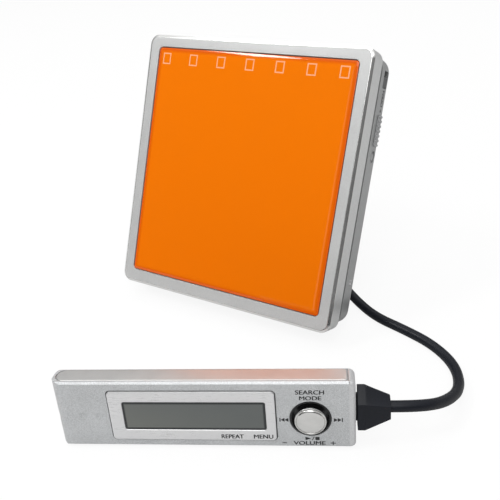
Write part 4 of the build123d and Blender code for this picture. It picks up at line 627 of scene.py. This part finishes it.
skin("lid_front", frame_grid, case_paint, "lid", ("lid_frame",), polish=slope_metal,
     polished_rows=SLOPE_ROWS)
softened("lid_skirt", "lid_shell", case_paint, "lid", 0.08)

panel_edge = outline((0, PANEL_Y), PANEL_W - 2 * PANEL_GAP, PANEL_H - 2 * PANEL_GAP, PANEL_R - PANEL_GAP)
fall = np.linspace(0, pi / 2, PANEL_STEPS)
# the round edge is a quarter ellipse: the outline shrinks by the inset's share of the half width as it rises
shares = 1 - PANEL_ROUND * (1 - np.cos(fall)) / (PANEL_W / 2)
rows = np.array((0, PANEL_Y)) + (panel_edge[0] - (0, PANEL_Y)) * shares[:, None, None]
panel_rows = raised(player, rows, CASE_T - PANEL_DROP + PANEL_DROP * np.sin(fall))
side_rows = ringed(player, panel_edge, ((0.0, FRAME_FOOT_Z), (0.0, CASE_T - PANEL_DROP - PANEL_SIDE)))
middle = player.at((0, PANEL_Y, CASE_T))
closing = middle + (panel_rows[-1] - middle) * np.array(CLOSING_SHARES)[:, None, None]
foot = drawn_in(player, (0, PANEL_Y, FRAME_FOOT_Z), panel_rows)

panel_resin, place = start_finish("panel_resin")
here_x, here_y = player.here(place, 0), player.here(place, 1)
to_edge = place.sum("MINIMUM", PANEL_W / 2 - abs(here_x), PANEL_H / 2 - abs(here_y - PANEL_Y))
# painted light: the resin's colour is lighter towards the top of the panel, as if lit from above
lacquer_and_painted_light = here_y.rise(0.0, PAINTED_LIGHT_REACH).mix((0.86, 0.172, 0.0005), (0.90, 0.190, 0.0005))
lacquer_and_painted_light = (place.noise(18.0, 2.0) * 0.5).mix(lacquer_and_painted_light, (0.84, 0.180, 0.002))
# painted shade: darker and redder within 2 mm of the panel's edge, where it rounds off
lacquer_and_painted_light = (1 - to_edge.rise(0.7, 2.0)).mix(lacquer_and_painted_light, (0.74, 0.110, 0.001))
# small framed cells in a row, printed under the resin: ink lies within half a line of a cell's outline
cell_x = abs(place.sum("WRAP", here_x - CELL_FIRST, CELL_PITCH / 2, -CELL_PITCH / 2))
off_x, off_y = cell_x - CELL_W / 2, abs(here_y - CELL_Y) - CELL_H / 2
off_line = abs(place.sum("MAXIMUM", off_x, off_y))
row_half, row_middle = CELL_COUNT / 2 * CELL_PITCH, CELL_FIRST + (CELL_COUNT - 1) / 2 * CELL_PITCH
in_row = 1 - abs(here_x - row_middle).rise(row_half - ROW_SOFT, row_half + ROW_SOFT)
cells = (1 - off_line.rise(CELL_LINE * 0.35, CELL_LINE * 0.65)) * in_row
lacquer_and_painted_light = (cells * 0.62).mix(lacquer_and_painted_light, (1.0, 0.60, 0.38))
# painted shade: a dark brown line along the panel's very edge, for the shadow in the gap to the frame
lacquer_and_painted_light = (1 - to_edge.rise(0.24, 0.34)).mix(lacquer_and_painted_light, (0.10, 0.025, 0.004))
surface(place, {"Base Color": lacquer_and_painted_light, "Roughness": place.noise(11.0, 3.0) * 0.06 + 0.03,
                "Specular IOR Level": 0.42, "Normal": place.bump(place.noise(16.0, 1.0), 0.012)})
skin("panel", np.concatenate((foot, side_rows, panel_rows, closing)), panel_resin, "lid",
     ("front_panel",))

# =============================================================================
# Remote's shells.  Two mouldings in speckled silver paint meet low on the sides,
# the lighter end cap at the right closes them over the strain relief, and a thin
# brushed plate is let into the upper side, half round at its left end.
# =============================================================================
remote_paint = painted("remote_paint", (0.54, 0.552, 0.56), 0.22, 0.40)
cap_paint = painted("cap_paint", (0.60, 0.605, 0.61), 0.10, 0.34)
softened("remote_face", "remote_front_shell", remote_paint, "housing", 0.10)
softened("remote_back", "remote_rear_shell", remote_paint, "housing", 0.10)
softened("remote_end", "remote_end_cap", cap_paint, "housing", 0.10)
brushed_plate = worked("brushed_plate", (0.62, 0.62, 0.61), 0.36, stick, 0, 30.0, 0.06, 0.001, 0.04, 0.75)
PLATE_MID, PLATE_L, PLATE_W, PLATE_LEFT_R, PLATE_RIGHT_R = (36.04, -3.075), 69.88, 4.55, 2.27, 0.8
PLATE_STEPS = ((0.0, 18.0), (0.0, 18.42), (0.05, 18.52), (0.15, 18.58), (0.30, 18.60))
from_above = Unit(stick.ways[0], -stick.ways[2], stick.at((0, 0, 0)), (0, 0, 0))
plate_left = outline(PLATE_MID, PLATE_L, PLATE_W, PLATE_LEFT_R)
plate_right = outline(PLATE_MID, PLATE_L, PLATE_W, PLATE_RIGHT_R)
# the plate's outline: nearly a half circle at its left end, small corners at its right
at_right = plate_left[0][:, :1] > PLATE_MID[0]
plate_edge = tuple(np.where(at_right, right, left) for left, right in zip(plate_left, plate_right))
plate_rows = ringed(from_above, plate_edge, PLATE_STEPS)
plate_foot = drawn_in(from_above, (*PLATE_MID, PLATE_STEPS[0][1]), plate_rows)
plate_top = drawn_in(from_above, (*PLATE_MID, PLATE_STEPS[-1][1]), plate_rows)
skin("top_cover", np.concatenate((plate_foot, plate_rows, plate_top)), brushed_plate, "housing",
     ("remote_top_plate",))

# =============================================================================
# Display.  A liquid-crystal cell lies under a smoked window, which is held by a
# bezel of bright metal.  The bezel stands a little proud, and a black ring in the
# floor of its slot round it is painted shade for the shadow in the slot.
# =============================================================================
bezel_metal = worked("bezel_metal", (0.76, 0.76, 0.765), 0.30, stick, 0, 60.0, 0.05, 0.0003, 0.015, 0.6)
BEZEL_MID, BEZEL_W, BEZEL_H, BEZEL_R, BEZEL_FOOT, BEZEL_TOP = (34.0, 9.175), 40.1, 13.95, 1.0, 5.85, 6.70
BEZEL_OUTSIDE = ((0.0, BEZEL_FOOT), (0.0, 6.5), (0.05, 6.61), (0.16, 6.68), (0.32, BEZEL_TOP))
BEZEL_INSIDE = ((-0.24, BEZEL_TOP), (-0.08, 6.67), (0.0, 6.59), (0.0, BEZEL_FOOT))
OPENING_MID, OPENING_W, OPENING_H, OPENING_R, WINDOW_GAP = (34.55, 9.225), 34.5, 8.05, 0.6, 0.05
bezel_outer = outline(BEZEL_MID, BEZEL_W, BEZEL_H, BEZEL_R)
bezel_inner = outline(OPENING_MID, OPENING_W, OPENING_H, OPENING_R)
bezel_grid = np.concatenate((ringed(stick, bezel_outer, BEZEL_OUTSIDE),
                             ringed(stick, bezel_inner, BEZEL_INSIDE),
                             ringed(stick, bezel_outer, BEZEL_OUTSIDE[:1])))
skin("bezel", bezel_grid, bezel_metal, "housing", ("display_bezel",))

# painted shade: a black ring in the floor of the bezel's slot, standing for the shadow there
SLOT_SHADE_W, SLOT_SHADE_FOOT, SLOT_SHADE_TOP = 0.22, 5.86, 6.0
SLOT_SHADE_STEPS = ((0.0, SLOT_SHADE_FOOT), (-SLOT_SHADE_W, SLOT_SHADE_FOOT), (-SLOT_SHADE_W, SLOT_SHADE_TOP), (0.0, SLOT_SHADE_TOP), (0.0, SLOT_SHADE_FOOT))
skin("bezel_slot_shade", ringed(stick, bezel_outer, SLOT_SHADE_STEPS), black_plastic, "housing")

WINDOW_W, WINDOW_H = OPENING_W - 2 * WINDOW_GAP, OPENING_H - 2 * WINDOW_GAP
WINDOW_STEPS = ((0.0, BEZEL_FOOT), (0.0, 6.5), (0.03, 6.57), (0.10, 6.60))
window_rows = ringed(stick, outline(OPENING_MID, WINDOW_W, WINDOW_H, OPENING_R), WINDOW_STEPS)
window_foot = drawn_in(stick, (*OPENING_MID, WINDOW_STEPS[0][1]), window_rows)
window_top = drawn_in(stick, (*OPENING_MID, WINDOW_STEPS[-1][1]), window_rows)
smoked, place = start_finish("smoked_window")
here_x, here_y = stick.here(place, 0), stick.here(place, 1)
to_rim = place.sum("MINIMUM", WINDOW_W / 2 - abs(here_x - OPENING_MID[0]),
                   WINDOW_H / 2 - abs(here_y - OPENING_MID[1]))
# painted light: the window is painted lighter towards its lower left and darker towards its upper right
painted_light_low = (here_y * 0.5 + here_x * 0.2).rise(3.0, 15.0)
glass_and_painted_light = painted_light_low.mix((0.170, 0.176, 0.160), (0.118, 0.128, 0.126))
glass_and_painted_light = (place.noise(5.0, 3.0) * 0.3).mix(glass_and_painted_light, (0.15, 0.16, 0.15))
surface(place, {"Base Color": to_rim.rise(0.35, 0.75).mix((0.03, 0.032, 0.034), glass_and_painted_light), "Roughness": 0.12,
                "Specular IOR Level": 0.35})
skin("window", np.concatenate((window_foot, window_rows, window_top)), smoked, "housing",
     ("display_window",))
lcd_grey = moulded("lcd_glass", (0.30, 0.32, 0.27), 0.25, 0.5, 0.004)
softened("display_cell", "display_panel", lcd_grey, "housing", 0.06)

# =============================================================================
# Control stick.  A dished chromed cap on a post rocks in a gimbal inside a black
# well that is pressed into the face.
# =============================================================================
STICK_SIDES = 72
WELL_PROFILE = ((1.5, 3.45), (4.9, 3.45), (4.9, 6.17), (4.85, 6.29), (4.72, 6.35), (4.55, 6.33), (4.42, 6.21),
                (4.38, 5.7), (4.3, 4.5), (4.1, 3.98), (1.5, 3.95), (1.5, 3.45))
CAP_PROFILE = ((0.95, 5.65), (1.6, 5.65), (1.6, 6.85), (1.7, 6.95), (3.45, 6.95), (3.66, 7.01),
               (3.75, 7.15), (3.75, 7.29), (3.68, 7.45), (3.55, 7.53), (3.44, 7.54), (3.38, 7.48),
               (3.36, 7.41), (3.32, 7.41), (3.29, 7.48), (3.20, 7.59), (3.0, 7.68), (2.7, 7.75),
               (2.2, 7.80), (1.6, 7.83), (0.8, 7.845), (0.0, 7.85))
CAP_INSIDE = ((0.0, 7.45), (0.95, 7.45), (0.95, 5.65))
chrome = worked("chrome", (0.72, 0.715, 0.70), 0.16, stick, 0, 2.0, 1.2, 0.002, 0.05)
gloss_black = moulded("gloss_black", (0.012, 0.012, 0.013), 0.22, 0.4, 0.003)
skin("stick_bowl", turned_grid(stick, STICK_AT, WELL_PROFILE, STICK_SIDES), gloss_black, "housing",
     ("stick_well",))
skin("stick_dish", turned_grid(stick, STICK_AT, CAP_INSIDE + CAP_PROFILE, STICK_SIDES), chrome, "stick_top",
     ("stick_cap",))
softened("gimbal_ring", "stick_gimbal", pin_steel, "stick_ring", 0.05)
softened("stick_post_pin", "stick_stem", pin_steel, "stick_post", 0.05)

# =============================================================================
# Legends.  The names and signs of the functions are pad-printed in black ink
# beside their keys, a few hundredths of a millimetre thick.
# =============================================================================
INK_THICK, INK_PROUD, INK_SPREAD = 0.03, 0.012, np.array((0.055, 0.02))
FACE_Z, SHELL_SIDE = 6.35, 36.4                        # remote's face; player's right side, from its middle
FACE_AXES = ((1, 0, 0), (0, 1, 0), (0, 0, 1))          # a sign's ways along, up and off, on a face
SIDE_AXES = ((0, 1, 0), (0, 0, 1), (1, 0, 0))          # and on a right side
ink = moulded("legend_ink", (0.010, 0.010, 0.012), 0.5, 0.3, 0.002, 0.25)


def letters(word, box):
    """Flat sign of a word in the plain built-in face, stretched to its box (left, right, foot, top).

    It's struck twice, a little apart, so that its strokes come out bold."""
    curve = bpy.data.curves.new(word, "FONT")
    curve.body = word
    sample = bpy.data.objects.new(word, curve)
    mesh = bpy.data.meshes.new_from_object(sample)
    spots = np.empty(len(mesh.vertices) * 3)
    mesh.vertices.foreach_get("co", spots)
    spots = spots.reshape(-1, 3)[:, :2]
    left, right, low, high = box
    share = (spots - spots.min(axis=0)) / np.ptp(spots, axis=0)
    flat = np.array((left, low)) + share * (right - left, high - low)
    faces = [tuple(face.vertices) for face in mesh.polygons]
    again = [tuple(corner + len(flat) for corner in face) for face in faces]
    bpy.data.objects.remove(sample)
    return np.concatenate((flat - INK_SPREAD, flat + INK_SPREAD)), faces + again


def shape(*corners):
    """Flat sign from its corners, in turn."""
    return np.array(corners, dtype=float), [tuple(range(len(corners)))]


def bar(left, right, low, high):
    """Upright rectangle."""
    return shape((left, low), (right, low), (right, high), (left, high))


def arrow(tip, back, middle, half):
    """Triangle that points from back to tip along the line at height middle."""
    return shape((tip, middle), (back, middle + half), (back, middle - half))


def printed(name, unit, base, axes, signs):
    """Ink of flat signs laid on a face: base plus along and up by their two numbers, a little off it."""
    spots, faces = [], []
    for flat, sides in signs:
        faces += [tuple(corner + sum(map(len, spots)) for corner in side) for side in sides]
        spots.append(flat)
    flat = np.concatenate(spots)
    across, upward, off = np.array(axes, dtype=float)
    placed = unit.at(np.array(base) + flat[:, :1] * across + flat[:, 1:] * upward + INK_PROUD * off)
    mesh = bpy.data.meshes.new(name)
    mesh.from_pydata(placed.tolist(), [], faces)
    piece = added(name, mesh, ink, "housing")
    thick = piece.modifiers.new("ink", "SOLIDIFY")
    thick.thickness, thick.offset = INK_THICK * MM, -1.0
    return piece


printed("stick_legends", stick, (0, 0, FACE_Z), FACE_AXES, (
    letters("SEARCH", (58.9, 65.5, 15.3, 16.45)), letters("MODE", (59.8, 64.8, 13.7, 14.8)),
    letters("VOLUME", (58.0, 65.5, 0.75, 1.85)), bar(55.3, 56.4, 1.2, 1.42),
    bar(66.7, 67.9, 1.2, 1.42), bar(67.19, 67.41, 0.75, 1.87),
    arrow(55.2, 56.1, 8.1, 0.55), arrow(56.1, 57.0, 8.1, 0.55), bar(54.9, 55.15, 7.55, 8.65),
    arrow(68.5, 67.6, 8.1, 0.55), arrow(69.4, 68.5, 8.1, 0.55), bar(69.45, 69.7, 7.55, 8.65),
    arrow(62.15, 60.8, 2.65, 0.5), shape((62.3, 2.15), (62.5, 2.15), (63.0, 3.15), (62.8, 3.15)),
    bar(63.15, 64.15, 2.2, 3.1)))
printed("bezel_legends", stick, (0, 0, BEZEL_TOP), FACE_AXES, (
    letters("REPEAT", (40.8, 46.1, 2.8, 3.95)), letters("MENU", (48.6, 53.2, 2.8, 3.95))))
printed("open_legend", player, (SHELL_SIDE, 0, 0), SIDE_AXES, (
    letters("OPEN", (64.6, 69.0, 2.2, 3.7)), arrow(64.1, 63.1, 3.0, 0.6)))

# =============================================================================
# Keys along the remote's lower side, the rocker for the volume and the lock
# slider on its back: small mouldings in grey plastic.
# =============================================================================
softened("repeat_knob", "repeat_key", control_grey, "repeat", 0.10)
softened("menu_knob", "menu_key", control_grey, "menu", 0.10)
softened("volume_knob", "volume_rocker", control_grey, "volume", 0.10)
softened("remote_hold_knob", "remote_hold_switch", dark_control, "remote_hold", 0.08)

# =============================================================================
# Clip.  A grey moulding that turns on a steel pin behind the remote, closed by a
# spring of fine wire wound round the pin.
# =============================================================================
clip_grey = moulded("clip_grey", (0.13, 0.133, 0.138), 0.45, 0.25, 0.01)
softened("clothes_clip", "remote_clip", clip_grey, "clip", 0.12)
softened("clip_rod", "clip_pin", pin_steel, "housing", 0.05)
CLIP_SPRING, CLIP_SPRING_R, CLIP_TURNS = ((34.2, 12.0, -1.1), (39.0, 12.0, -1.1)), 0.62, 12
skin("clip_return", coiled(stick, *CLIP_SPRING, CLIP_SPRING_R, WIRE_R, CLIP_TURNS), pin_steel, "housing",
     ("clip_spring",))

# =============================================================================
# Ends of the lead.  The strain relief at the remote and the plug in the player
# are moulded in the cord's own vinyl.  A black plastic tie holds the coil.
# =============================================================================
tie_black = moulded("tie_black", (0.018, 0.018, 0.018), 0.55, 0.3, 0.02)
ends = [softened("relief", "strain_relief", cord_vinyl, "housing", 0.35),
        softened("plug", "lead_plug", cord_vinyl, "housing", 0.2),
        softened("band", "cord_tie", tie_black, "housing", 0.1)]
